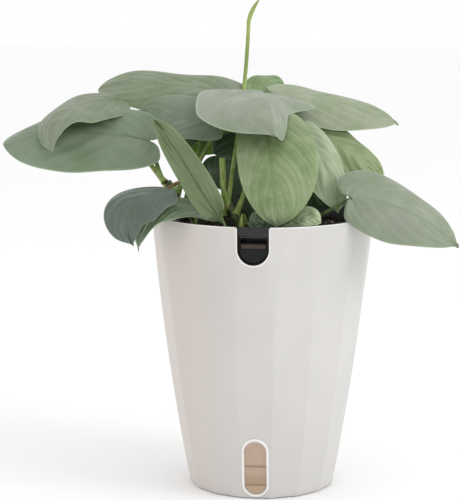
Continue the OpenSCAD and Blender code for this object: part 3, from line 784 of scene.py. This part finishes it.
def path_curve(points, radii, closed=False):
    curve = bpy.data.curves.new("path", "CURVE")
    curve.dimensions = "3D"
    line = curve.splines.new("POLY")
    line.points.add(len(points) - 1)
    line.use_cyclic_u = closed
    for spot, point, radius in zip(line.points, points, radii):
        spot.co = (*[float(c) * MM for c in point], 1.0)
        spot.radius = radius * MM
    return add_object("path", curve)


def shoot(name, p, radius, finish, sides=14, points=40):
    """radius is a function of the share of the way along the curve p, in mm."""
    u = np.linspace(0, 1, points)
    source = path_curve(bezier(p, u), [radius(t) for t in u])
    return run_tree(sweep_shoot, source, name, Sides=sides, Points=points, Finish=finish)


def wire(name, path, radius, finish, sides, points, closed=False):
    """A round strip of one radius along a list of places, in mm."""
    source = path_curve(path, [radius] * len(path), closed)
    return run_tree(sweep_shoot, source, name, Sides=sides, Points=points, Finish=finish)


# %% Stalks of the leaves
# foot, lean from the foot and arrival at the blade; where the arrival is zero, the stalk comes up
# from behind the blade and from below it
PETIOLES = {
    "far_left": [V(-63, -28, 209), V(-6, 2, 6), V(0, 0, 0)],
    "upper_left": [V(-61, -25, 205), V(-14, 18, 12), V(4, -2, -17)],
    "back_left": [V(-56, -20, 199), V(6, 12, 22), V(0, 0, 0)],
    "under_left": [V(-50, -18, 190), V(-2, 12, 28), V(0, 0, 0)],
    "centre": [V(18, 4, 206), V(-4, 6, 25), V(0, 0, 0)],
    "crown": [V(16, 8, 200), V(-2, 14, 20), V(0, 0, 0)],
    "front": [V(-14, -43, 190), V(8, 6, 20), V(0, 0, 0)],
    "right": [V(-3, -35, 160), V(10, -2, 12), V(-20, 5, -13)],
    "upper_right": [V(22, 9, 203), V(0, 6, 25), V(0, 0, 0)],
    "front_right": [V(25, 1, 194), V(0, -4, 20), V(0, 0, 0)],
    "back_right": [V(27, 6, 190), V(4, 6, 20), V(0, 0, 0)],
    "lower_left": [V(-59, -28, 203), V(2, -10, 6), V(6, 8, -2)],
    "rim_left": [V(-34, -24, 175), V(4, -8, 8), V(0, 0, 0)],
    "folded": [V(-6, -39, 170), V(-2, -8, 4), V(2, 6, -6)],
    "inner_left": [V(-14, -37, 190), V(-10, 14, 8), V(0, 0, 0)],
    "inner_right": [V(-8, -37, 181), V(-2, 10, 10), V(0, 0, 0)],
    "notch": [V(0, -42, 174), V(2, -4, 4), V(0, 0, 0)],
    "rim_right": [V(6, -34, 174), V(2, -4, 6), V(0, 0, 0)],
    "shaded": [V(-48, -15, 183), V(2, 14, 18), V(0, 0, 0)],
    "rear_left": [V(-46, -13, 178), V(2, 24, 26), V(8, 0, -14)],
    "rear": [V(18, 9, 193), V(-2, 10, 20), V(0, 0, 0)],
    "rear_right": [V(22, 8, 184), V(2, 10, 14), V(-4, -4, -6)],
}
PETIOLE_R, FOOT_R = 1.1, 1.8
CLASP_R, KNEE_R = 0.9, 0.25
APPROACH = 9
STALK_DEPTH = 0.9
PALE_STALKS = ("folded", "front", "upper_left", "front_right")
SHADED_STALKS = ("right", "rim_right", "rear_right")


def stalk_radius(t):
    clasp = CLASP_R * math.exp(-((t / 0.07) ** 2))
    knee = KNEE_R * math.exp(-(((t - 0.95) / 0.05) ** 2))
    return mix(FOOT_R, PETIOLE_R, min(1, t * 1.15)) + clasp + knee


def leaf_stalk(name):
    foot, lean, arrival = PETIOLES[name]
    leaf = LEAVES[name]
    base, next_point = midrib_path(leaf)[:2]
    t = unit(next_point - base)
    n = unit(leaf.up0 - t * (leaf.up0 @ t))
    if not arrival.any():
        arrival = -(t + n) * APPROACH * min(1, np.linalg.norm(base - foot) / 40)
    finish = stalk_green
    if name in PALE_STALKS:
        finish = stalk_pale
    elif name in SHADED_STALKS:
        finish = stalk_shaded
    route = [foot, foot + lean, base + arrival, base - n * STALK_DEPTH]
    return shoot("stalk_" + name, route, stalk_radius, finish)


stalks = {name: leaf_stalk(name) for name in PETIOLES}
print(len(stalks), "stalks")

# %% Stems, new leaf and stubs
STEMS = {
    "stem_left": [(-40, -12, 150), (-44, -16, 172), (-54, -23, 196), (-61, -28, 209)],
    "stem_centre": [(-4, -34, 150), (-6, -38, 170), (-12, -41, 184), (-18, -42, 196)],
    "stem_right": [(22, 0, 150), (24, 2, 172), (24, 4, 190), (20, 6, 206)],
    "new_leaf_stalk": [(-19, -42, 197), (-17, -18, 236), (-16, 38, 250), (-12, 24, 313)],
    "new_leaf": [(-12, 24, 313), (-11, 24, 319), (-8, 23, 324), (-4, 22, 329)],
    "cut_petiole": [(-22, -34, 188), (-22, -34, 200), (-24, -33, 212), (-24, -32, 226)],
    "basal_shoot": [(-10, -52, 174), (-10, -53, 182), (-9, -54, 187), (-9, -55, 192)],
}


KNOT_R, KNOT_SPAN = 0.45, 0.03


def old_stem(start, end, knots):
    """Radius of a stem with swollen knots where leaves have stood."""
    def radius(t):
        swell = sum(math.exp(-(((t - k) / KNOT_SPAN) ** 2)) for k in knots)
        return mix(start, end, t) + KNOT_R * swell
    return radius


def tapered(start, end, belly=0.0):
    return lambda t: mix(start, end, t ** 1.5) + belly * math.sin(math.pi * t)


GROWTH = {
    "stem_left": ["old_stem_left", old_stem(2.8, 2.6, (0.55, 0.72, 0.9)), stem_dark],
    "stem_centre": ["old_stem_centre", old_stem(2.8, 2.4, (0.6, 0.8)), stem_dark],
    "stem_right": ["old_stem_right", old_stem(2.8, 2.6, (0.55, 0.75, 0.92)), stem_dark],
    "new_leaf_stalk": ["furled_leaf_stalk", tapered(1.5, 1.3), stalk_pale, 14, 60],
    "new_leaf": ["furled_leaf_tip", tapered(1.3, 0.25, 0.5), stalk_pale],
    "cut_petiole": ["cut_stalk", tapered(2.1, 1.9), stalk_pale],
    "basal_shoot": ["basal_tip", tapered(1.8, 0.2, 0.4), stalk_pale],
}
growth = {node: shoot(title, STEMS[node], *rest) for node, (title, *rest) in GROWTH.items()}

# old leaf sheaths, dried up or still green, that stand between the stalks
SHEATHS = {
    "sheath_left": ([(-62, -31, 203), (-66, -34, 202), (-69, -36, 198), (-71, -38, 194)], sheath_brown),
    "sheath_knot": ([(-60, -31, 205), (-57, -35, 208), (-52, -38, 210), (-47, -40, 213)], sheath_brown),
    "sheath_centre": ([(-19, -42, 194), (-20, -45, 200), (-22, -46, 208), (-24, -46, 217)], stalk_pale),
}
for name, (route, finish) in SHEATHS.items():
    growth[name] = shoot(name, route, tapered(1.5, 0.25, 0.3), finish)
print(len(growth), "stems, tips and sheaths")

# %% [markdown]
# ## The pot, made by a rule
# The outer pot is round at its rim and has flat facets further down. That is a rule: turn a
# profile about the axis, and pull each point in to the plane of its facet, the more the lower it
# lies. The mesh starts as the profile unrolled, with the angle in place of X. The tree rolls it
# up, presses the facets in with a soft edge and closes the seam.

# %% Profile of the pot
POT_H, RIM_R, BASE_R, BULGE = 186.0, 75.0, 49.5, 2.7
WALL_T, FLOOR_T, STEP_DEPTH, LIP_T = 2.2, 2.2, 8.0, 1.7
FACETS = 16
CORNER = math.cos(math.pi / FACETS)
FADE = 0.667


def side_r(z):
    share = z / POT_H
    return mix(BASE_R, RIM_R, share) + 4 * BULGE * share * (1 - share)


def pot_profile():
    """[radius, height, 1 where the facets show] from the middle of the foot round to the floor."""
    step_z = POT_H - STEP_DEPTH
    rows = [(0, 0, 1), (20, 0, 1), (40, 0, 1), (BASE_R - 1.0, 0, 1), (BASE_R - 0.3, 0.25, 1)]
    rows += [(side_r(z), z, 1) for z in np.linspace(0.9, POT_H - 0.8, 64)]
    rows += [(RIM_R - 0.25, POT_H - 0.2, 1), (RIM_R - 0.7, POT_H, 1), (RIM_R - LIP_T + 0.5, POT_H, 0)]
    rows += [(RIM_R - LIP_T, POT_H - 0.5, 0), (side_r(step_z) - LIP_T, step_z, 0)]
    rows += [(side_r(z) * CORNER - WALL_T, z, 0) for z in np.linspace(step_z, FLOOR_T, 30)]
    return rows + [(30, FLOOR_T, 0), (0, FLOOR_T, 0)]


AROUND = 288
FULL_TURN = 2 * math.pi


def unrolled(name, rows, around):
    points = [(FULL_TURN * k / around, r * MM, z * MM) for r, z, _ in rows for k in range(around + 1)]
    width = around + 1
    faces = [(i * width + k, i * width + k + 1, (i + 1) * width + k + 1, (i + 1) * width + k)
             for i in range(len(rows) - 1) for k in range(around)]
    obj = make_piece(name, points, faces, [])
    shown = obj.data.attributes.new("facetted", "FLOAT", "POINT")
    shown.data.foreach_set("value", [f for _, _, f in rows for _ in range(around + 1)])
    return obj


# %% Tree that rolls up and facets the pot
def facet_tree():
    tree, given, result = new_tree("roll_and_facet", [
        ("Facets", "Float", FACETS), ("Corner share", "Float", CORNER), ("Height", "Float", POT_H * MM),
        ("Fade", "Float", FADE), ("Softness", "Float", 0.006), ("Finish", "Material", None)])
    place = add_node(tree, "ShaderNodeSeparateXYZ", {0: add_node(tree, "GeometryNodeInputPosition")[0]})
    angle, radius, height = (Wire(tree, place[c]) for c in "XYZ")
    pitch = Wire(tree, given["Facets"]) ** -1 * FULL_TURN
    off = (angle + pitch * 0.5 + FULL_TURN).math("MODULO", pitch) - pitch * 0.5
    share = height / Wire(tree, given["Height"])
    fade = Wire(tree, given["Fade"])
    ramp = ((share - fade) / (fade * -1 + 1)).math("MAXIMUM", 0.0)
    flat = Wire(tree, given["Corner share"])
    flat = (flat + (flat * -1 + 1) * ramp) / off.math("COSINE")
    pull = flat.math("SMOOTH_MIN", 1.0, Wire(tree, given["Softness"]))
    name = add_node(tree, "GeometryNodeInputNamedAttribute", {"Name": "facetted"})
    shown = Wire(tree, name["Attribute"])
    r = radius * (pull * shown + (shown * -1 + 1))
    spot = add_node(tree, "ShaderNodeCombineXYZ", {
        "X": r * angle.math("COSINE"), "Y": r * angle.math("SINE"), "Z": height})
    rolled = add_node(tree, "GeometryNodeSetPosition", {
        "Geometry": given["Geometry"], "Position": spot[0]})
    seamless = add_node(tree, "GeometryNodeMergeByDistance", {
        "Geometry": rolled[0], "Distance": 1e-6})
    return end_tree(tree, seamless[0], given["Finish"], result)


roll_and_facet = facet_tree()
pot_strip = unrolled("pot_strip", pot_profile(), AROUND)
shell = run_tree(roll_and_facet, pot_strip, "pot_shell", Finish=pot_white)
print("pot shell", len(shell.data.vertices), "points")

# %% [markdown]
# The notch and the window are cut out of the finished shell with Boolean modifiers, because a
# clean cut through a curved wall is exactly what they are for. The cutters are extruded outlines.

# %% Cut the notch and the window
NOTCH_W, NOTCH_DEPTH = 22.0, 25.7
NOTCH_R = NOTCH_W / 2
NOTCH_Z = POT_H - NOTCH_DEPTH + NOTCH_R
WINDOW_W, WINDOW_H, WINDOW_Z = 15.0, 37.8, 21.4


def facet_r(z):
    return side_r(z) * mix(CORNER, 1, max(0, (z / POT_H - FADE) / (1 - FADE)))


# the window follows the slope of its facet, measured up to this height
TILT_RISE = POT_H / 12 * 1.4
WINDOW_TILT = math.atan((facet_r(TILT_RISE) - facet_r(0)) / TILT_RISE)
WINDOW_Y = -facet_r(WINDOW_Z) - 0.1


def on_window(x, up, out):
    """A point on the front facet: x to the right, up along the facet and out of it, in mm."""
    c, s = math.cos(WINDOW_TILT), math.sin(WINDOW_TILT)
    return np.array([x, WINDOW_Y - up * s - out * c, WINDOW_Z + up * c - out * s])


def stadium(w, h, steps=24):
    """Outline of an upright slot with round ends, anticlockwise from its right side."""
    r = w / 2
    turns = [(i / steps) * math.pi for i in range(steps + 1)]
    top = [(r * math.cos(a), h / 2 - r + r * math.sin(a)) for a in turns]
    return top + [(-x, -y) for x, y in top]


def notch_outline(grow=0.0, steps=32):
    """The U of the notch, open at the top, from its left edge to its right one."""
    r = NOTCH_R + grow
    sides = list(np.linspace(POT_H, NOTCH_Z, 9)[:-1])
    arc = [(-r * math.cos(a), NOTCH_Z - r * math.sin(a)) for a in np.linspace(0, math.pi, steps)]
    return [(-r, z) for z in sides] + arc + [(r, z) for z in sides[::-1]]


def prism(name, front, back):
    """Closed solid between two outlines of the same number of points."""
    n = len(front)
    faces = [list(range(n)), [n + k for k in range(n - 1, -1, -1)]]
    faces += [[k, n + k, n + (k + 1) % n, (k + 1) % n] for k in range(n)]
    obj = make_piece(name, np.array(list(front) + list(back)) * MM, faces, [])
    face_out(obj)
    return obj


def face_out(obj):
    work = bmesh.new()
    work.from_mesh(obj.data)
    bmesh.ops.remove_doubles(work, verts=work.verts, dist=1e-7)
    bmesh.ops.recalc_face_normals(work, faces=work.faces)
    work.to_mesh(obj.data)
    work.free()


def apply_modifiers(obj):
    graph = bpy.context.evaluated_depsgraph_get()
    mesh = bpy.data.meshes.new_from_object(obj.evaluated_get(graph), depsgraph=graph)
    obj.modifiers.clear()
    obj.data = mesh


def cut(obj, *cutters):
    for cutter in cutters:
        tool = obj.modifiers.new("cut", "BOOLEAN")
        tool.operation = "DIFFERENCE"
        tool.solver = "EXACT"
        tool.object = cutter
    apply_modifiers(obj)
    for cutter in cutters:
        bpy.data.objects.remove(cutter)


CUT_FRONT, CUT_BACK, CUT_ABOVE, CUT_REACH = -90, -50, 6, 10
notch_top = [(x, z + (CUT_ABOVE if z >= POT_H else 0)) for x, z in notch_outline()]
notch_cutter = prism("notch_cutter", [(x, CUT_FRONT, z) for x, z in notch_top],
                     [(x, CUT_BACK, z) for x, z in notch_top])
slot = stadium(WINDOW_W, WINDOW_H)
window_cutter = prism("window_cutter", [on_window(x, y, CUT_REACH) for x, y in slot],
                      [on_window(x, y, -CUT_REACH) for x, y in slot])
face_out(shell)
cut(shell, notch_cutter, window_cutter)
shell.data.shade_smooth()
shell.data.set_sharp_from_angle(angle=math.radians(35))
print("pot shell", len(shell.data.polygons), "faces after the cuts")

# %% [markdown]
# A moulded edge is never sharp. A thin rounded strip runs round the notch, and a raised round
# bead round the window. Both are swept along their outlines by the shoot tree.

# %% Edge of the notch, bead of the window
NOTCH_EDGE_R, NOTCH_EDGE_IN, NOTCH_EDGE_BACK = 0.6, 0.15, 0.6
NOTCH_EDGE_TOP = POT_H - 0.8
BEAD_R, BEAD_RISE, BEAD_FLOOR = 0.85, 0.4, 1.15
BEAD_W, BEAD_H = WINDOW_W + 1.3, WINDOW_H + 2.9


def wall_y(x, z, back):
    """Y of the round front wall at x and z, back mm inside its outer face."""
    return -math.sqrt(max(0, (side_r(z) - back) ** 2 - x * x))


edge_path = []
for x, z in notch_outline(-NOTCH_EDGE_IN, 40):
    z = min(z, NOTCH_EDGE_TOP)
    edge_path.append((x, wall_y(x, z, NOTCH_EDGE_BACK), z))
# the notch edge and the window bead are painted brighter than the wall: painted highlight
notch_edge = wire("notch_edge", edge_path, NOTCH_EDGE_R, painted_highlight_white, 16, 120)
bead_path = [on_window(x, y + BEAD_RISE, 0.0) for x, y in stadium(BEAD_W, BEAD_H, 32)]
bead_path = [(x, y, max(z, BEAD_FLOOR)) for x, y, z in bead_path]
window_bead = wire("window_bead", bead_path, BEAD_R, painted_highlight_white, 16, 160, closed=True)
print("notch edge", len(notch_edge.data.polygons), "faces")
print("window bead", len(window_bead.data.polygons), "faces")

# %% [markdown]
# ## The filling mouth
# Behind the notch sits the liner's mouth: a frame round a recessed panel with a slot above it, a
# dark amber strip, and a U-shaped dish with a raised lip below. Each is a plate with a bevelled
# edge, so that light draws its outline.

# %% Plates of the filling mouth
SPOUT_TOP = POT_H - 6.0
PLATE_FRONT, PLATE_BACK = -69.6, -68.0
MOUTH_HALF = 10.7


def plate(name, outline, y_front, y_back, finish, bevel=0.35):
    obj = prism(name, [(x, y_front, z) for x, z in outline], [(x, y_back, z) for x, z in outline])
    obj.data.materials.append(finish)
    soft = obj.modifiers.new("soft", "BEVEL")
    soft.width = bevel * MM
    soft.segments = 3
    soft.limit_method = "ANGLE"
    soft.angle_limit = math.radians(40)
    apply_modifiers(obj)
    obj.data.shade_smooth()
    obj.data.set_sharp_from_angle(angle=math.radians(30))
    return obj


def box_outline(x0, x1, z0, z1):
    return [(x0, z0), (x1, z0), (x1, z1), (x0, z1)]


def lower_arc(r, steps):
    """The round foot of a U, from left to right."""
    return [(r * math.cos(a), NOTCH_Z + r * math.sin(a)) for a in np.linspace(math.pi, 2 * math.pi, steps)]


def u_outline(half, top):
    return [(-half, top)] + lower_arc(half, 28) + [(half, top)]


# %% Filling mouth
SLOT_HALF, SLOT_LOW, SLOT_HIGH = 8.2, 176.0, 179.0
DISH_HALF, DISH_TOP = MOUTH_HALF - 1.3, 171.4
LIP_HALF, LIP_Y, LIP_R = 10.1, -71.2, 0.6
BAR_OUT, BAR_IN, BAR_LOW, BAR_HIGH = 9.6, 8.6, 171.6, 178.8
# name, outline, how far it stands out of the plate, finish, bevel
BARS = [
    ["mouth_bar_top", (-BAR_OUT, BAR_OUT, 179.2, SPOUT_TOP), 1.2, mouth_black, 0.35],
    # the ledge and the sill edge are painted grey: painted highlight lines on black plastic
    ["mouth_ledge", (-8.8, 8.8, 179.0, 179.5), 1.6, painted_highlight_grey, 0.15],
    ["mouth_sill_edge", (-BAR_IN, BAR_IN, 174.1, 174.5), 0.9, painted_highlight_grey, 0.12],
    ["mouth_bar_left", (-BAR_OUT, -BAR_IN, BAR_LOW, BAR_HIGH), 0.7, mouth_black, 0.35],
    ["mouth_bar_right", (BAR_IN, BAR_OUT, BAR_LOW, BAR_HIGH), 0.7, mouth_black, 0.35],
]

back = plate("mouth_back", u_outline(MOUTH_HALF, SPOUT_TOP), PLATE_FRONT + 0.9, PLATE_BACK, mouth_black)
slot = box_outline(-SLOT_HALF, SLOT_HALF, SLOT_LOW, SLOT_HIGH)
cut(back, prism("slot_cutter", [(x, -75, z) for x, z in slot], [(x, -66, z) for x, z in slot]))
dish = plate("mouth_dish", u_outline(DISH_HALF, DISH_TOP), PLATE_FRONT - 0.5, PLATE_FRONT + 1.0,
             mouth_black, 0.45)
frame_bars = [plate(name, box_outline(*sides), PLATE_FRONT - out, PLATE_FRONT + 1.0, finish, bevel)
              for name, sides, out, finish, bevel in BARS]
lip_path = [(-LIP_HALF, LIP_Y, SPOUT_TOP - 0.4)]
lip_path += [(x, LIP_Y, z) for x, z in lower_arc(LIP_HALF, 40)]
lip_path += [(LIP_HALF, LIP_Y, SPOUT_TOP - 0.4)]
mouth_lip = wire("mouth_lip", lip_path, LIP_R, mouth_black, 12, 120)
mouth = [back, dish, *frame_bars, mouth_lip]
print("filling mouth of", len(mouth), "pieces")

# %% [markdown]
# ## Rim of the liner
# The liner's upper edge is a rolled lip that shows as a thin black line inside the white rim. It
# is a full ring, swept round the pot by the shoot tree. The white rim has a rounded edge of its
# own, which stops at the notch; it is painted brighter than the pot, a painted highlight.

# %% Liner rim and pot rim
LINER_LIP_RING, LINER_LIP_Z, LINER_LIP_R = 70.9, 184.9, 1.1
RIM_EDGE_RING, RIM_EDGE_Z, RIM_EDGE_R = 74.3, 185.5, 0.55
NOTCH_TURN = 0.15


def round_the_rim(ring, z, start, end):
    """Places on a level ring, from the angle start to the angle end, 0 at the front."""
    return [(ring * math.sin(a), -ring * math.cos(a), z) for a in np.linspace(start, end, 181)]


lip_points = round_the_rim(LINER_LIP_RING, LINER_LIP_Z, 0.0, FULL_TURN)[:-1]
liner_lip = wire("liner_lip", lip_points, LINER_LIP_R, liner_black, 12, 240, closed=True)
edge_points = round_the_rim(RIM_EDGE_RING, RIM_EDGE_Z, NOTCH_TURN, FULL_TURN - NOTCH_TURN)
rim_edge = wire("rim_edge", edge_points, RIM_EDGE_R, painted_highlight_white, 12, 240)
print("liner lip", len(liner_lip.data.polygons), "and rim edge", len(rim_edge.data.polygons), "faces")

# %% [markdown]
# ## Potting mix
# The surface of the mix is uneven, and coarse bits lie on it: bark, white grains and fibres. The
# bed is one closed mesh with its top lifted by noise. The bits repeat by the hundred, so a tree
# scatters a few small shapes over the top faces, turns each its own way and makes them real.

# %% Bed of the mix
SOIL_Z, BED_Z, BED_R = 175.0, 160.0, 67.4
POCKET_HALF, POCKET_Y = 13.0, -59.8


def bed_r(angle):
    """Radius of the bed: the liner's inside, kept clear of the filling channel at the front."""
    x, y = BED_R * math.cos(angle), BED_R * math.sin(angle)
    if y < POCKET_Y and abs(x) < POCKET_HALF:
        return min(BED_R, POCKET_Y / math.sin(angle))
    return BED_R


def soil_top(x, y):
    spot = Vector((x, y, 0))
    lumps = noise.noise(spot * 0.07) * 1.6 + noise.noise(spot * 0.3) * 1.1 + noise.noise(spot * 1.1) * 0.5
    return SOIL_Z + lumps - 0.4


def soil_bed(rings=60, around=220):
    points, faces = [(0, 0, soil_top(0, 0))], []
    for i in range(1, rings + 1):
        for k in range(around):
            a = 2 * math.pi * k / around
            r = bed_r(a) * i / rings
            x, y = r * math.cos(a), r * math.sin(a)
            points.append((x, y, soil_top(x, y)))

    def ring(i, k):
        return 1 + (i - 1) * around + k % around
    for k in range(around):
        faces.append((0, ring(1, k), ring(1, k + 1)))
        for i in range(1, rings):
            faces.append((ring(i, k), ring(i + 1, k), ring(i + 1, k + 1), ring(i, k + 1)))
    foot = len(points)
    for k in range(around):
        a = 2 * math.pi * k / around
        points.append((bed_r(a) * math.cos(a), bed_r(a) * math.sin(a), BED_Z))
        faces.append((ring(rings, k), foot + k, foot + (k + 1) % around, ring(rings, k + 1)))
    faces.append(tuple(foot + k for k in range(around - 1, -1, -1)))
    return make_piece("potting_bed", np.array(points) * MM, faces, [soil_dark])


bed = soil_bed()
print("bed", len(bed.data.polygons), "faces")


# %% Tree that scatters bits
FACES_UP = 0.4


def scatter_tree():
    tree, given, result = new_tree("scatter_bits", [
        ("Bit", "Object", None), ("Density", "Float", 40000.0), ("Smallest", "Float", 0.6),
        ("Largest", "Float", 1.6), ("Seed", "Int", 1), ("Finish", "Material", None)])
    normal = add_node(tree, "GeometryNodeInputNormal")
    facing = add_node(tree, "ShaderNodeSeparateXYZ", {0: normal[0]})
    upward = Wire(tree, facing["Z"]).math("GREATER_THAN", FACES_UP)
    spots = add_node(tree, "GeometryNodeDistributePointsOnFaces", {
        "Mesh": given["Geometry"], "Selection": upward, "Density": given["Density"],
        "Seed": given["Seed"]})
    turn = add_node(tree, "FunctionNodeRandomValue", {
        0: (0.0, 0.0, 0.0), 1: (6.28, 6.28, 6.28), "Seed": given["Seed"]},
        data_type="FLOAT_VECTOR")
    size = add_node(tree, "FunctionNodeRandomValue", {
        2: given["Smallest"], 3: given["Largest"], "Seed": given["Seed"]}, data_type="FLOAT")
    bit = add_node(tree, "GeometryNodeObjectInfo", {"Object": given["Bit"], "As Instance": True})
    laid = add_node(tree, "GeometryNodeInstanceOnPoints", {
        "Points": spots["Points"], "Instance": bit["Geometry"], "Rotation": turn[0], "Scale": size[1]})
    return end_tree(tree, laid[0], given["Finish"], result)


scatter_bits = scatter_tree()
print("trees", [t.name for t in bpy.data.node_groups])


# %% Shapes of the bits
def lump(name, size, rough, seed):
    """A small stone or chip: an icosphere pushed about by noise; size is its three half axes, mm."""
    work = bmesh.new()
    bmesh.ops.create_icosphere(work, subdivisions=1, radius=1.0)
    for vert in work.verts:
        push = 1 + rough * noise.noise(vert.co * 1.7 + Vector((seed, 0, 0)))
        vert.co = Vector([c * s * MM for c, s in zip(vert.co * push, size)])
    mesh = bpy.data.meshes.new(name)
    work.to_mesh(mesh)
    work.free()
    return add_object(name, mesh)


def scattered(name, bit, density, smallest, largest, seed, finish):
    ground = add_object(name, bed.data.copy())
    obj = run_tree(scatter_bits, ground, name, Bit=bit, Density=density, Smallest=smallest,
                   Largest=largest, Seed=seed, Finish=finish)
    bpy.data.objects.remove(bit)
    print(name, len(obj.data.polygons), "faces")
    return obj


bits = [
    scattered("soil_crumbs", lump("crumb", (1.1, 0.9, 0.8), 0.5, 3), 130000.0, 0.5, 1.5, 11, soil_dark),
    scattered("bark_chips", lump("chip", (3.0, 1.8, 0.8), 0.5, 9), 16000.0, 0.5, 1.3, 12, bark_brown),
    scattered("white_grains", lump("grain", (1.0, 0.9, 0.9), 0.3, 5), 4500.0, 0.5, 1.2, 13, grain_white),
    scattered("soil_fibres", lump("fibre", (5.5, 0.25, 0.25), 0.2, 2), 12000.0, 0.5, 1.2, 14, bark_brown),
]

# %% [markdown]
# ## Every piece on its body
# The outer pot with its window stays where it is. Everything else rises with the liner. A piece
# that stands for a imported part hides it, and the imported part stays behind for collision.

# %% Ride, replace and finish
def settle(obj, body, slot_name, *nodes):
    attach(obj, body)
    if nodes:
        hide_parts(*nodes)


settle(shell, "pot", "pot_white", "outer_pot")
settle(notch_edge, "pot", "pot_white")
settle(window_bead, "pot", "pot_white")
settle(rim_edge, "pot", "pot_white")
for piece in mouth:
    settle(piece, "liner", "black_plastic")
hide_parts("fill_spout")
settle(liner_lip, "liner", "black_plastic")
settle(bed, "liner", "soil", "potting_mix")
for piece in bits:
    settle(piece, "liner", "soil")
slots = {s["node"]: s["material_slot"] for s in frame["record"]["subparts"]}
for name, piece in blades.items():
    settle(piece, "liner", slots["leaf_" + name], "leaf_" + name)
for name, piece in stalks.items():
    settle(piece, "liner", "petiole", "petiole_" + name)
for name, piece in growth.items():
    if name in STEMS:
        settle(piece, "liner", slots[name], name)
    else:
        settle(piece, "liner", "petiole")
carried = {"window_lens": window_clear, "window_gasket": liner_black, "liner": liner_black,
           "spout_sill": sill_amber, "wick_basket": liner_black, "wick_soil": soil_dark}
for name, finish in carried.items():
    node = frame["nodes"][name]
    node.data.materials.clear()
    node.data.materials.append(finish)

# %% [markdown]
# ## Floor and light
# A plain pale floor, one large soft light from the upper right, a weaker warm one from the left,
# and an even white sky behind. Big lights give soft shadows, which suits thin leaves.

# %% Floor and light
FLOOR_Z = -0.0004


def pale_floor():
    f = Finish("pale_floor", Roughness=0.8)
    f.to("Base Color", f.mix(f.noise(3.0, 2.0), linear((250, 250, 250)), linear((252, 252, 252))))
    corners = [(x, y, FLOOR_Z) for x, y in ((-4, 6), (-4, -4), (4, -4), (4, 6))]
    make_piece("floor", corners, [(0, 1, 2, 3)], [f.material])


def soft_light(name, place, target, size, watts, colour):
    data = bpy.data.lights.new(name, "AREA")
    data.shape = "DISK"
    data.size = size
    data.energy = watts
    data.color = colour
    lamp = add_object(name, data)
    lamp.location = place
    lamp.rotation_euler = (Vector(target) - Vector(place)).to_track_quat("-Z", "Y").to_euler()


pale_floor()
sky = bpy.data.worlds.new("sky")
sky.use_nodes = True
sky.node_tree.nodes["Background"].inputs["Color"].default_value = (1.0, 1.0, 1.0, 1.0)
sky.node_tree.nodes["Background"].inputs["Strength"].default_value = 1.0
bpy.context.scene.world = sky
soft_light("key", (1.3, -0.5, 0.9), (0.0, 0.0, 0.15), 0.7, 6.0, (1.0, 0.99, 0.98))
soft_light("fill", (-1.3, -0.4, 0.4), (0.0, 0.0, 0.1), 0.7, 1.0, (1.0, 0.9, 0.84))
print("lights", [o.name for o in bpy.data.objects if o.type == "LIGHT"])
